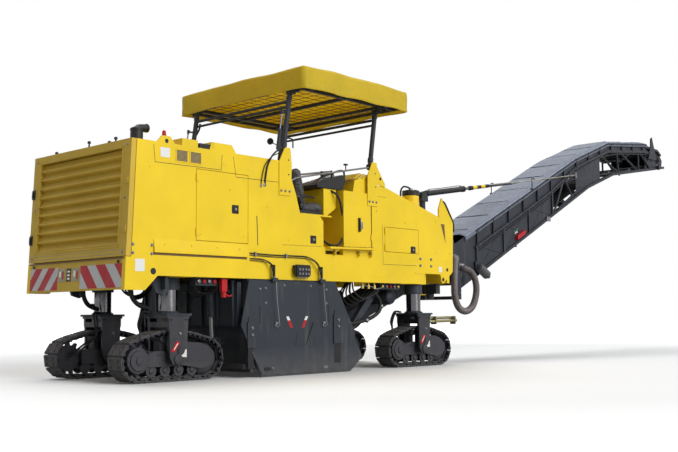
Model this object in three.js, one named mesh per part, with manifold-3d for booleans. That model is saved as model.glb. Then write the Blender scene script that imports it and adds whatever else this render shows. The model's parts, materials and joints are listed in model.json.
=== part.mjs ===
// Front-loading cold planer (asphalt milling machine) on four crawler tracks.
// Millimetres, +X forward, +Y to the left, +Z up, origin on the floor under the
// centre of the machine's overall length.

import * as THREE from 'three';
import { mergeVertices } from 'three/addons/utils/BufferGeometryUtils.js';
import Module from 'manifold-3d';

const wasm = await Module();
wasm.setup();

// ---------------------------------------------------------------- dimensions
// Stations along the machine are measured forward from the foot of the rear
// panel; heights from the floor; widths as half-widths from the centre plane.

const GAP = 0.3;                    // between faces that touch
const ARC_STEPS = 12;               // straight steps in a half circle

const OVERALL_LENGTH = 14300;
const HALF_WIDTH = 975;
const SKIN = 40;                    // door and cover panel thickness
const INNER = HALF_WIDTH - SKIN;

// chassis
const RAIL = 60;                    // side rail thickness
const RAIL_INNER = HALF_WIDTH - RAIL;
const FRAME_BOTTOM = 1140;
const FRAME_TOP = 1480;
const REAR_BOTTOM = 985;
const BODY_FRONT = 5700;
const CROSS_DEPTH = 140;            // cross member size along the machine

// rear end
const REAR_LEAN = 0.045;            // forward lean of the rear panel per height
const HOOD_TOP = 2580;
const REAR_DOOR_FOOT = 1335;
const REAR_DOOR_DEPTH = 60;
const LOUVRE_LOW = 1450;
const LOUVRE_HIGH = 2490;
const LOUVRE_HALF = 820;
const LOUVRE_COUNT = 10;

// hood
const HOOD_END_TOP = 2330;
const HOOD_END_LOW = 2560;
const HOOD_SPLIT = 2345;            // top of the side doors
const ROOF = 35;
const ENGINE_DOOR_BACK = 930;
const ENGINE_DOOR_FRONT = 1700;
const ENGINE_DOOR_LOW = 1540;
const DOOR_CLEAR = 6;
const STACK_X = 740;
const STACK_Y = -110;
const STACK_RADIUS = 73;
const STACK_HEIGHT = 290;
const HINGE_RADIUS = 9;
const HINGE_LEAF = 5;

// operator's station
const FLOOR_TOP = 1570;
const FLOOR_THICK = 40;
const SEAT_SHELF = 1970;
const STATION_FRONT = 3900;
const SILL_END = 2965;

// front body
const TANK_TOP_BACK = 2450;
const TANK_TOP_FRONT = 2140;
const TANK_SLOPE_START = 4130;
const TANK_FRONT = 5385;
const TOOLBOX_BACK = 4160;
const TOOLBOX_FRONT = 4900;
const TOOLBOX_LOW = 1560;
const TOOLBOX_HIGH = 1900;
const GUSSET = 25;
const WINDOW_HALF = 370;             // half-width of the opening for the conveyor

// running gear
const REAR_AXLE = 812;
const FRONT_AXLE = 4960;
const REAR_TRACK_HALF = 640;
const FRONT_TRACK_HALF = 815;
const TRACK_LENGTH = 1410;
const TRACK_WIDTH = 270;
const TRACK_END_RADIUS = 238;
const TRACK_PEAK = TRACK_END_RADIUS + 322;   // the upper run rises over carrier rollers
const PEAK_HALF = 160;
const SHOE = 50;                    // depth of the shoes and their links
const COLUMN_RADIUS = 100;
const COLUMN_TOP = 1460;
const YOKE_LOW = TRACK_PEAK + 30;   // clears the top of the track
const YOKE_TOP = YOKE_LOW + 145;
const YOKE_FOOT = TRACK_END_RADIUS - 48;
const SLEEVE_CLEAR = 2;
const SLEEVE_WALL = 22;
const SLEEVE_LOW = 1010;

// milling gear
const DRUM_X = 2640;
const DRUM_RADIUS = 420;
const DRUM_Z = 452;
const HOUSING_WALL = 25;
const HOUSING_HALF = HALF_WIDTH - 10;
const SIDE_PLATE = 20;
const SIDE_PLATE_CLEAR = 8;

// primary conveyor
const PRIMARY_HALF = 290;
const PRIMARY_TAIL = [3400, 330];
const PRIMARY_HEAD = [6560, 1600];
const PRIMARY_DEPTH = 240;

// slewing frame and discharge conveyor
const SLEW_X = 6250;
const SLEW_PIN = 50;
const LOWER_ARM = [1020, 1060];     // heights of the two arms that hold the slew pins
const UPPER_ARM = [2080, 2140];
const CRADLE_X = 6520;
const BOOM_PIVOT_Z = 1330;
const BOOM_PIN = 30;
const BOOM_HALF = 420;
const BOOM_WALL = 22;
const CHEEK = 45;
const CHEEK_CLEAR = 8;
const MAST_TOP = 2620;
const BOOM_TOP = [[6480, 1790], [10390, 3610], [11700, 4080], [13300, 4270], [13950, 4290]];
const BOOM_BOTTOM = [[6530, 1050], [10870, 3100], [11890, 3450]];

const MARKER_X = 13670;              // upright plate on the right edge of the head
const MARKER_FOOT = 4270;
const MARKER_TOP = 4460;

const COVER_BACK = 6800;
const COVER_FRONT = 13450;
const COVER_DEPTH = 60;

// suspension of the discharge conveyor
const BARREL_RADIUS = 45;
const ROD_RADIUS = 22;
const BARREL_LENGTH = 1150;
const EYE_PIN = 18;
const SPREADER_X = 8150;
const ROPE_RADIUS = 11;
const ROPE_Y = 450;
const ROPE_ANCHOR = [10290, 3290];

// canopy
const CANOPY_BACK = 2400;
const CANOPY_FRONT = 4410;
const CANOPY_HALF = 1200;
const CANOPY_RIM = 3500;
const CANOPY_EDGE = 3785;
const CANOPY_CROWN = 3840;
const CANOPY_CLOTH = 12;
const POST_RADIUS = 32;
const POST_Y = 905;
const POST_FOOT_Z = 2700;
const POST_TOP_Z = 3475;
const POST_FORWARD = 120;           // lean of the posts over their height
const REAR_POST_X = 2330;
const FRONT_POST_X = 3950;
const BRACKET = 12;
const POST_PIN = 16;
const OPEN_PIVOT = 8;               // clearance where a closed linkage is left open

// ------------------------------------------------------------------ finishes
const yellow = new THREE.MeshStandardMaterial({ color: 0xf2c81e, roughness: 0.45, metalness: 0 });
const charcoal = new THREE.MeshStandardMaterial({ color: 0x3c4148, roughness: 0.6, metalness: 0.2 });
const graphite = new THREE.MeshStandardMaterial({ color: 0x2b2b2e, roughness: 0.6, metalness: 0.6 });
const steel = new THREE.MeshStandardMaterial({ color: 0x9a9da1, roughness: 0.35, metalness: 0.9 });
const black = new THREE.MeshStandardMaterial({ color: 0x151517, roughness: 0.7, metalness: 0 });
const tarpaulin = new THREE.MeshStandardMaterial({ color: 0xe8bd18, roughness: 0.8, metalness: 0 });
const coverCloth = new THREE.MeshStandardMaterial({ color: 0x767d8c, roughness: 0.8, metalness: 0 });

// ------------------------------------------------------------ shape helpers
function block(x0, x1, y0, y1, z0, z1) {
  const geometry = new THREE.BoxGeometry(x1 - x0, y1 - y0, z1 - z0);
  geometry.translate((x0 + x1) / 2, (y0 + y1) / 2, (z0 + z1) / 2);
  return geometry;
}

function outline(points) {
  return new THREE.Shape(points.map(([a, b]) => new THREE.Vector2(a, b)));
}

function extrude(shape, depth) {
  return new THREE.ExtrudeGeometry(shape, { depth, bevelEnabled: false, curveSegments: ARC_STEPS });
}

// A profile of (x, z) points carried across the machine from y0 to y1.
function sideProfile(points, y0, y1) {
  const geometry = extrude(outline(points), y1 - y0);
  geometry.rotateX(Math.PI / 2);
  geometry.translate(0, y1, 0);
  return geometry;
}

// A profile of (y, z) points carried forward from x0 to x1.
function crossProfile(points, x0, x1) {
  const geometry = extrude(outline(points), x1 - x0);
  const turn = new THREE.Matrix4().makeBasis(
    new THREE.Vector3(0, 1, 0), new THREE.Vector3(0, 0, 1), new THREE.Vector3(1, 0, 0));
  geometry.applyMatrix4(turn);
  geometry.translate(x0, 0, 0);
  return geometry;
}

function upright(x, y, z0, z1, radius, segments = 20) {
  const geometry = new THREE.CylinderGeometry(radius, radius, z1 - z0, segments);
  geometry.rotateX(Math.PI / 2);
  geometry.translate(x, y, (z0 + z1) / 2);
  return geometry;
}

function crosswise(x, z, y0, y1, radius, segments = 20) {
  const geometry = new THREE.CylinderGeometry(radius, radius, y1 - y0, segments);
  geometry.translate(x, (y0 + y1) / 2, z);
  return geometry;
}

// A round bar between two points.
function bar(from, to, radius, segments = 10) {
  const start = new THREE.Vector3(...from);
  const run = new THREE.Vector3(...to).sub(start);
  const geometry = new THREE.CylinderGeometry(radius, radius, run.length(), segments);
  geometry.translate(0, run.length() / 2, 0);
  const up = new THREE.Vector3(0, 1, 0);
  geometry.applyQuaternion(new THREE.Quaternion().setFromUnitVectors(up, run.clone().normalize()));
  geometry.translate(start.x, start.y, start.z);
  return geometry;
}

// Radius of a faceted hole whose flats clear a round pin.
function holeFor(pinRadius, segments) {
  return (pinRadius + GAP) / Math.cos(Math.PI / segments);
}

function toSolid(geometry) {
  let bare = geometry.index ? geometry.toNonIndexed() : geometry.clone();
  bare.deleteAttribute('normal');
  bare.deleteAttribute('uv');
  bare = mergeVertices(bare, 1e-4);
  return new wasm.Manifold(new wasm.Mesh({
    numProp: 3,
    vertProperties: new Float32Array(bare.attributes.position.array),
    triVerts: new Uint32Array(bare.index.array),
  }));
}

function toGeometry(solid) {
  const mesh = solid.getMesh();
  const geometry = new THREE.BufferGeometry();
  geometry.setAttribute('position', new THREE.BufferAttribute(new Float32Array(mesh.vertProperties), 3));
  geometry.setIndex(new THREE.BufferAttribute(new Uint32Array(mesh.triVerts), 1));
  return geometry;
}

// Joins the shapes of one list and cuts those of another from them.
function fuse(shapes, cuts = []) {
  let solid = toSolid(shapes[0]);
  for (const shape of shapes.slice(1)) {
    solid = solid.add(toSolid(shape));
  }
  for (const shape of cuts) {
    solid = solid.subtract(toSolid(shape));
  }
  return toGeometry(solid);
}

const machine = new THREE.Group();
machine.position.x = -OVERALL_LENGTH / 2;

function add(name, material, geometry) {
  const mesh = new THREE.Mesh(geometry, material);
  mesh.name = name;
  machine.add(mesh);
}

// height at x of a line through (x, z) points
function heightOn(points, x) {
  const i = points.findIndex(([px]) => px >= x);
  const [x0, z0] = points[i - 1];
  const [x1, z1] = points[i];
  return z0 + (z1 - z0) * (x - x0) / (x1 - x0);
}

// y range of a panel on one side: side is -1 for right, +1 for left
function span(side, near, far) {
  return side < 0 ? [-far, -near] : [near, far];
}

const SIDES = [['right', -1], ['left', 1]];

// Two hinge barrels on a side door, which turns about its rear edge. They lie
// against the skin behind the door.
function sideHinges(edge, side, low, high) {
  const shapes = [];
  const middle = side * (HALF_WIDTH + GAP + HINGE_RADIUS);
  for (const z of [low + 60, high - 140]) {
    shapes.push(upright(edge, middle, z, z + 80, HINGE_RADIUS, 12));
    const [y0, y1] = span(side, HALF_WIDTH - 1, HALF_WIDTH + HINGE_LEAF + HINGE_RADIUS / 2);
    shapes.push(block(edge + DOOR_CLEAR, edge + 45, y0, y1, z, z + 80));
  }
  return shapes;
}

// x of the rear panel's outer face at a height
function rearFace(z) {
  return (z - REAR_BOTTOM) * REAR_LEAN;
}

// ------------------------------------------------------------------- chassis
const legs = [
  ['rear_right', REAR_AXLE, -REAR_TRACK_HALF],
  ['rear_left', REAR_AXLE, REAR_TRACK_HALF],
  ['front_right', FRONT_AXLE, -FRONT_TRACK_HALF],
  ['front_left', FRONT_AXLE, FRONT_TRACK_HALF],
];
const NOTCH_BACK = FRONT_AXLE + 20;
const NOTCH_FRONT = 5390;
const NOTCH_TOP = 1290;

function chassis() {
  const railOutline = [
    [0, REAR_BOTTOM], [260, REAR_BOTTOM], [420, FRAME_BOTTOM],
    [NOTCH_BACK, FRAME_BOTTOM], [NOTCH_BACK + 50, NOTCH_TOP], [NOTCH_FRONT, NOTCH_TOP],
    [NOTCH_FRONT + 60, 1150], [BODY_FRONT - 10, 1330], [BODY_FRONT, FRAME_TOP],
    [rearFace(FRAME_TOP) + REAR_DOOR_DEPTH + DOOR_CLEAR, FRAME_TOP],
    [rearFace(REAR_DOOR_FOOT) + REAR_DOOR_DEPTH + DOOR_CLEAR, REAR_DOOR_FOOT - DOOR_CLEAR],
    [rearFace(REAR_DOOR_FOOT), REAR_DOOR_FOOT - DOOR_CLEAR],
  ];
  const pieces = [
    sideProfile(railOutline, -HALF_WIDTH, -RAIL_INNER),
    sideProfile(railOutline, RAIL_INNER, HALF_WIDTH),
  ];
  const crossMembers = [160, 1350, 2000, 3200];
  for (const x of crossMembers) {
    pieces.push(block(x, x + CROSS_DEPTH, -RAIL_INNER - 1, RAIL_INNER + 1, 1200, 1400));
  }
  const cuts = [];
  for (const [, x, y] of legs) {
    const inner = Math.abs(y) - COLUMN_RADIUS - 60;
    const [y0, y1] = span(Math.sign(y), inner, RAIL_INNER + 1);
    pieces.push(block(x - 170, x + 170, y0, y1, FRAME_BOTTOM, 1300));
    pieces.push(upright(x, y, SLEEVE_LOW, FRAME_TOP, COLUMN_RADIUS + SLEEVE_WALL, 24));
    cuts.push(upright(x, y, SLEEVE_LOW - 10, COLUMN_TOP + GAP, COLUMN_RADIUS + SLEEVE_CLEAR, 24));
  }
  pieces.push(block(REAR_AXLE - 60, REAR_AXLE + 60, -RAIL_INNER - 1, RAIL_INNER + 1, 1180, 1280));
  pieces.push(block(FRONT_AXLE - 330, FRONT_AXLE - 230, -RAIL_INNER - 1, -WINDOW_HALF - 20, 1180, 1280));
  pieces.push(block(FRONT_AXLE - 330, FRONT_AXLE - 230, WINDOW_HALF + 20, RAIL_INNER + 1, 1180, 1280));
  add('main_frame', yellow, fuse(pieces, cuts));
}

// ------------------------------------------------------------------ rear end
function rearEnd() {
  const bumperOutline = [
    [5, REAR_BOTTOM + 5], [45, REAR_BOTTOM + 5],
    [rearFace(REAR_DOOR_FOOT) + 45, REAR_DOOR_FOOT - 20],
    [rearFace(REAR_DOOR_FOOT) + 5, REAR_DOOR_FOOT - 20],
  ];
  add('rear_bumper', yellow, sideProfile(bumperOutline, -RAIL_INNER + GAP, RAIL_INNER - GAP));

  // the grille door: a leaning frame with slanted slats across its opening
  const leaning = (low, high, front, back) => [
    [rearFace(low) + front, low], [rearFace(low) + back, low],
    [rearFace(high) + back, high], [rearFace(high) + front, high],
  ];
  const doorHalf = HALF_WIDTH - 2;
  const frame = sideProfile(leaning(REAR_DOOR_FOOT, HOOD_TOP, 0, REAR_DOOR_DEPTH), -doorHalf, doorHalf);
  const opening = sideProfile(
    leaning(LOUVRE_LOW, LOUVRE_HIGH, -20, REAR_DOOR_DEPTH + 20), -LOUVRE_HALF, LOUVRE_HALF);
  const pitch = (LOUVRE_HIGH - LOUVRE_LOW) / LOUVRE_COUNT;
  const slats = [];
  for (let i = 0; i < LOUVRE_COUNT; i += 1) {
    const foot = LOUVRE_LOW + pitch * (i + 0.1);
    const head = foot + pitch * 0.8;
    const slat = [
      [rearFace(foot) + 10, foot], [rearFace(foot) + 16, foot],
      [rearFace(head) + REAR_DOOR_DEPTH - 4, head], [rearFace(head) + REAR_DOOR_DEPTH - 10, head],
    ];
    slats.push(sideProfile(slat, -LOUVRE_HALF - 5, LOUVRE_HALF + 5));
  }
  const holed = toSolid(frame).subtract(toSolid(opening));
  let door = holed;
  for (const slat of slats) {
    door = door.add(toSolid(slat));
  }
  const seam = REAR_DOOR_DEPTH + DOOR_CLEAR;
  const hingeY = HALF_WIDTH + GAP + HINGE_RADIUS;
  for (const z of [1500, 1950, 2400]) {
    const barrel = bar([rearFace(z) + seam, hingeY, z], [rearFace(z + 80) + seam, hingeY, z + 80],
      HINGE_RADIUS, 12);
    const leaf = sideProfile(leaning(z, z + 80, REAR_DOOR_DEPTH - 40, REAR_DOOR_DEPTH),
      doorHalf - 1, hingeY + 4);
    door = door.add(toSolid(barrel)).add(toSolid(leaf));
  }
  add('rear_grille_door', yellow, toGeometry(door));

  add('radiator', graphite, block(230, 400, -800, 800, 1400 + GAP, 2440));
  const engineSeat = 1400 + GAP;
  add('engine_block', graphite, block(560, 1440, -330, 330, engineSeat, 2150));
}

// ---------------------------------------------------------------------- hood
function hood() {
  const behindDoor = REAR_DOOR_DEPTH + DOOR_CLEAR;
  const low = FRAME_TOP + GAP;
  const sideTop = HOOD_TOP - ROOF - GAP;
  const sideOutline = [
    [rearFace(low) + behindDoor, low], [HOOD_END_LOW, low], [HOOD_END_LOW, SEAT_SHELF - 30],
    [2480, 2200], [HOOD_END_TOP, sideTop], [rearFace(sideTop) + behindDoor, sideTop],
  ];
  for (const [name, side] of SIDES) {
    const [y0, y1] = span(side, INNER, HALF_WIDTH);
    const panel = sideProfile(sideOutline, y0, y1);
    const doorway = block(ENGINE_DOOR_BACK, ENGINE_DOOR_FRONT, y0 - 10, y1 + 10, ENGINE_DOOR_LOW, HOOD_SPLIT);
    add(`hood_side_${name}`, yellow, fuse([panel], [doorway]));
    add(`engine_door_${name}`, yellow, fuse([
      block(ENGINE_DOOR_BACK + DOOR_CLEAR, ENGINE_DOOR_FRONT - DOOR_CLEAR, y0, y1,
        ENGINE_DOOR_LOW + DOOR_CLEAR, HOOD_SPLIT - DOOR_CLEAR),
      ...sideHinges(ENGINE_DOOR_BACK, side, ENGINE_DOOR_LOW, HOOD_SPLIT),
    ]));
  }

  const roofBack = rearFace(HOOD_TOP) + behindDoor;
  const underside = HOOD_TOP - ROOF;
  const roofOutline = [
    [roofBack, underside], [HOOD_END_TOP, underside], [HOOD_END_TOP - 8, HOOD_TOP],
    [1510, HOOD_TOP], [1445, HOOD_TOP + 90], [1150, HOOD_TOP + 90], [1120, HOOD_TOP],
    [roofBack, HOOD_TOP],
  ];
  const lift = [
    [400, HOOD_TOP - 5], [640, HOOD_TOP - 5], [570, HOOD_TOP + 75], [470, HOOD_TOP + 75],
  ];
  const pieces = [sideProfile(roofOutline, -HALF_WIDTH, HALF_WIDTH)];
  for (const [, side] of SIDES) {
    const [y0, y1] = span(side, INNER, HALF_WIDTH);
    pieces.push(sideProfile(lift, y0, y1));
    const [a0, a1] = span(side, 520, HALF_WIDTH);
    pieces.push(block(730, 950, a0, a1, HOOD_TOP - 5, HOOD_TOP + 80));
  }
  add('hood_roof', yellow, fuse(pieces));

  const frontWall = [
    [HOOD_END_LOW - 30, low], [HOOD_END_LOW, low], [HOOD_END_LOW, SEAT_SHELF - 30],
    [2480, 2200], [HOOD_END_TOP, sideTop], [HOOD_END_TOP - 32, sideTop],
    [2450, 2190], [HOOD_END_LOW - 30, SEAT_SHELF - 40],
  ];
  add('hood_front_wall', yellow, sideProfile(frontWall, -INNER + GAP, INNER - GAP));

  const stackBase = HOOD_TOP + GAP;
  const stack = fuse([
    upright(STACK_X, STACK_Y, stackBase, stackBase + 12, STACK_RADIUS + 30),
    upright(STACK_X, STACK_Y, stackBase, stackBase + STACK_HEIGHT, STACK_RADIUS),
    bar([STACK_X, STACK_Y, stackBase + STACK_HEIGHT - 20],
      [STACK_X + 140, STACK_Y, stackBase + STACK_HEIGHT + 25], STACK_RADIUS - 20, 12),
  ]);
  add('exhaust_stack', black, stack);
}

// --------------------------------------------------------- operator's station
function station() {
  const floorBack = HOOD_END_LOW + GAP;
  const floorUnder = FLOOR_TOP - FLOOR_THICK;
  const floorPieces = [
    block(floorBack, STATION_FRONT - GAP, -RAIL_INNER, RAIL_INNER, floorUnder, FLOOR_TOP),
    block(2700, 2800, -RAIL_INNER, RAIL_INNER, FRAME_TOP + GAP, floorUnder + 1),
    block(3600, 3700, -RAIL_INNER, RAIL_INNER, FRAME_TOP + GAP, floorUnder + 1),
  ];
  for (const [, side] of SIDES) {
    const [y0, y1] = span(side, RAIL_INNER - 1, HALF_WIDTH);
    floorPieces.push(block(floorBack, 3000, y0, y1, FRAME_TOP + GAP, FLOOR_TOP));
    floorPieces.push(block(3330, STATION_FRONT - GAP, y0, y1, FRAME_TOP + GAP, FLOOR_TOP));
  }
  add('operator_platform', yellow, fuse(floorPieces));

  const riser = [
    [floorBack, FLOOR_TOP + GAP], [SILL_END, FLOOR_TOP + GAP], [SILL_END, 1890], [SILL_END - 60, 1950],
    [SILL_END + 150, 1950], [SILL_END + 150, SEAT_SHELF], [floorBack, SEAT_SHELF],
  ];
  add('seat_pedestal', yellow, sideProfile(riser, -HALF_WIDTH, HALF_WIDTH));
  for (const [name, side] of SIDES) {
    const seatMiddle = side * 690;
    const seatBase = SEAT_SHELF + GAP;
    const seatShape = [
      [2575, seatBase + 60], [2600, seatBase], [3010, seatBase], [3060, seatBase + 60],
      [3040, seatBase + 130], [2720, seatBase + 120], [2660, seatBase + 200],
      [2590, seatBase + 470], [2545, seatBase + 510], [2505, seatBase + 480],
      [2520, seatBase + 300],
    ];
    add(`seat_${name}`, black, sideProfile(seatShape, seatMiddle - 230, seatMiddle + 230));

    const [c0, c1] = span(side, 340, 940);
    const [w0, w1] = span(side, 560, HALF_WIDTH);
    const cabinet = fuse([
      block(3345, STATION_FRONT - 20, w0, w1, FLOOR_TOP + GAP, 2320),
      sideProfile([[3560, 2300], [STATION_FRONT - 20, 2300], [STATION_FRONT - 20, 2560],
        [3830, 2560], [3600, 2480]], c0, c1),
    ]);
    add(`front_cabinet_${name}`, yellow, cabinet);
  }

  const consoleBase = FLOOR_TOP + GAP;
  const console = fuse([
    block(3130, 3260, -120, 120, consoleBase, 2120),
    sideProfile([[2950, 2110], [3260, 2110], [3330, 2330], [3290, 2360]], -330, 330),
  ]);
  add('control_console', yellow, console);
}

// ---------------------------------------------------------------- front body
function frontBody() {
  const low = FRAME_TOP + GAP;
  const back = STATION_FRONT;
  const tankOutline = [
    [back, low], [TANK_FRONT, low], [TANK_FRONT, TANK_TOP_FRONT - 30], [TANK_FRONT - 90, TANK_TOP_FRONT],
    [TANK_SLOPE_START, TANK_TOP_BACK], [back, TANK_TOP_BACK],
  ];
  const pockets = [];
  for (const [, side] of SIDES) {
    const [y0, y1] = span(side, 700, HALF_WIDTH + 10);
    pockets.push(block(TOOLBOX_BACK, TOOLBOX_FRONT, y0, y1, TOOLBOX_LOW, TOOLBOX_HIGH));
  }
  add('front_tank', yellow, fuse(
    [sideProfile(tankOutline, -HALF_WIDTH, HALF_WIDTH)],
    pockets));
  for (const [name, side] of SIDES) {
    const [y0, y1] = span(side, HALF_WIDTH - SKIN, HALF_WIDTH);
    add(`toolbox_door_${name}`, yellow, fuse([
      block(TOOLBOX_BACK + DOOR_CLEAR, TOOLBOX_FRONT - DOOR_CLEAR, y0, y1,
        TOOLBOX_LOW + DOOR_CLEAR, TOOLBOX_HIGH - DOOR_CLEAR),
      ...sideHinges(TOOLBOX_BACK, side, TOOLBOX_LOW - 40, TOOLBOX_HIGH + 40),
    ]));
  }

  const neckX = 5080;
  const neckY = -700;
  const slopeAt = (x) => TANK_TOP_BACK
    - (x - TANK_SLOPE_START) * (TANK_TOP_BACK - TANK_TOP_FRONT) / (TANK_FRONT - 90 - TANK_SLOPE_START);
  const neckRadius = 118;
  const neckFoot = [
    [neckX - neckRadius - 20, 2600], [neckX + neckRadius + 20, 2600],
    [neckX + neckRadius + 20, slopeAt(neckX + neckRadius + 20) + GAP],
    [neckX - neckRadius - 20, slopeAt(neckX - neckRadius - 20) + GAP],
  ];
  const neck = toSolid(upright(neckX, neckY, 2000, 2470, neckRadius))
    .intersect(toSolid(sideProfile(neckFoot, neckY - 200, neckY + 200)));
  add('filler_neck', yellow, toGeometry(neck));
  add('filler_cap', black, upright(neckX, neckY, 2470 + GAP, 2495, neckRadius + 6));

  const gussetBack = TANK_FRONT + GAP;
  const gussetOutline = [
    [gussetBack, FRAME_TOP + GAP], [BODY_FRONT, FRAME_TOP + GAP], [BODY_FRONT + 20, 2070],
    [5460, 2400], [gussetBack, 2240],
  ];
  const wallBack = BODY_FRONT - 70;
  const wallFront = BODY_FRONT - 10;
  const barHalf = HALF_WIDTH - 5;
  const pieces = [
    sideProfile(gussetOutline, -HALF_WIDTH, -HALF_WIDTH + GUSSET),
    sideProfile(gussetOutline, HALF_WIDTH - GUSSET, HALF_WIDTH),
    block(wallBack, wallFront, -barHalf, barHalf, 1990, UPPER_ARM[1]),
    block(wallBack, wallFront, -WINDOW_HALF - 140, WINDOW_HALF + 140, LOWER_ARM[0], LOWER_ARM[1]),
    block(wallFront - 1, SLEW_X + 95, -90, 90, ...UPPER_ARM),
    block(wallFront - 1, SLEW_X + 95, -90, 90, ...LOWER_ARM),
  ];
  for (const [, side] of SIDES) {
    const [y0, y1] = span(side, WINDOW_HALF, RAIL_INNER - GAP);
    pieces.push(block(wallBack, wallFront, y0, y1, FRAME_BOTTOM + 30, 1991));
    const [h0, h1] = span(side, WINDOW_HALF, WINDOW_HALF + 140);
    pieces.push(block(wallBack, wallFront, h0, h1, LOWER_ARM[0], FRAME_BOTTOM + 31));
    const [f0, f1] = span(side, RAIL_INNER - 5, barHalf);
    pieces.push(block(wallBack, wallFront, f0, f1, FRAME_TOP + GAP, 1991));
  }
  const under = (x) => heightOn([PRIMARY_TAIL, PRIMARY_HEAD], x) - PRIMARY_DEPTH / 2 - GAP;
  for (const [, side] of SIDES) {
    pieces.push(sideProfile([
      [wallBack, LOWER_ARM[1] - 1], [wallFront, LOWER_ARM[1] - 1], [wallFront, under(wallFront)],
      [wallBack, under(wallBack)],
    ], ...span(side, PRIMARY_HALF - 90, PRIMARY_HALF - 40)));
  }
  const bores = [
    upright(SLEW_X, 0, LOWER_ARM[0] - 10, LOWER_ARM[1] + 10, holeFor(SLEW_PIN, 24), 24),
    upright(SLEW_X, 0, UPPER_ARM[0] - 10, UPPER_ARM[1] + 10, holeFor(SLEW_PIN, 24), 24),
  ];
  add('front_bulkhead', yellow, fuse(pieces, bores));
}

// -------------------------------------------------------------- running gear
function trackOutline(x, inset) {
  const radius = TRACK_END_RADIUS - inset;
  const reach = TRACK_LENGTH / 2 - TRACK_END_RADIUS;
  const height = TRACK_END_RADIUS;
  const shape = new THREE.Shape();
  // the upper run leaves each end wheel on the line that reaches the peak
  const along = PEAK_HALF - reach;
  const rise = TRACK_PEAK - inset - height;
  const leave = Math.atan2(rise, along) - Math.acos(radius / Math.hypot(along, rise));
  shape.absarc(x + reach, height, radius, -Math.PI / 2, leave);
  shape.lineTo(x + PEAK_HALF, TRACK_PEAK - inset);
  shape.lineTo(x - PEAK_HALF, TRACK_PEAK - inset);
  shape.absarc(x - reach, height, radius, Math.PI - leave, Math.PI * 1.5);
  return shape;
}

function loopGeometry(shape, y0, y1) {
  const geometry = extrude(shape, y1 - y0);
  geometry.rotateX(Math.PI / 2);
  geometry.translate(0, y1, 0);
  return geometry;
}

function runningGear() {
  for (const [name, x, y] of legs) {
    const y0 = y - TRACK_WIDTH / 2;
    const y1 = y + TRACK_WIDTH / 2;
    const belt = toSolid(loopGeometry(trackOutline(x, 0), y0, y1))
      .subtract(toSolid(loopGeometry(trackOutline(x, SHOE), y0 - 1, y1 + 1)));
    add(`track_${name}`, graphite, toGeometry(belt));

    const reach = TRACK_LENGTH / 2 - TRACK_END_RADIUS;
    const wheelRadius = (TRACK_END_RADIUS - SHOE) * Math.cos(Math.PI / ARC_STEPS / 2) - GAP;
    const beam = block(x - reach + 90, x + reach - 90, y - 75, y + 75, 130, 345);
    const carrier = [
      crosswise(x - reach, TRACK_END_RADIUS, y - 80, y + 80, wheelRadius, 24),
      crosswise(x + reach, TRACK_END_RADIUS, y - 60, y + 60, wheelRadius, 24),
      beam,
      crosswise(x, TRACK_END_RADIUS, y - TRACK_WIDTH / 2 - 70, y + TRACK_WIDTH / 2 + 70, 45, 16),
    ];
    const carrierRadius = 42;
    for (const end of [-1, 1]) {
      const rollerX = x + end * (PEAK_HALF - 40);
      carrier.push(crosswise(rollerX, TRACK_PEAK - SHOE - GAP - carrierRadius, y - 80, y + 80, carrierRadius, 16));
      carrier.push(block(rollerX - 35, rollerX + 35, y - 60, y + 60, 340, TRACK_PEAK - SHOE - carrierRadius));
    }
    const rollers = 4;
    for (let i = 0; i < rollers; i += 1) {
      const rollerX = x - reach + 200 + i * (2 * reach - 400) / (rollers - 1);
      carrier.push(crosswise(rollerX, SHOE + GAP + 55, y - 85, y + 85, 55, 16));
    }
    add(`track_frame_${name}`, graphite, fuse(carrier));

    // the yoke straddles the track and carries the column that lifts and turns
    const armIn = TRACK_WIDTH / 2 + 25;
    const armOut = armIn + 35;
    const yoke = [
      upright(x, y, YOKE_TOP - 5, COLUMN_TOP, COLUMN_RADIUS, 24),
      block(x - 150, x + 150, y - armOut, y + armOut, YOKE_TOP - 45, YOKE_TOP),
      upright(x, y, YOKE_LOW + 55, YOKE_TOP, COLUMN_RADIUS + 25, 24),
      block(x - 130, x + 130, y - armOut, y + armOut, YOKE_LOW, YOKE_LOW + 60),
    ];
    for (const side of [-1, 1]) {
      const [a0, a1] = side < 0 ? [y - armOut, y - armIn] : [y + armIn, y + armOut];
      yoke.push(sideProfile([
        [x - 135, YOKE_TOP - 1], [x - 125, YOKE_LOW - 5], [x - 115, YOKE_FOOT + 70], [x - 75, YOKE_FOOT],
        [x + 75, YOKE_FOOT], [x + 115, YOKE_FOOT + 70], [x + 125, YOKE_LOW - 5],
        [x + 135, YOKE_TOP - 1],
      ], a0, a1));
    }
    const pinBore = crosswise(x, TRACK_END_RADIUS, y - 260, y + 260, 45 + GAP, 16);
    add(`leg_${name}`, charcoal, fuse(yoke, [pinBore]));
  }
}

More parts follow.
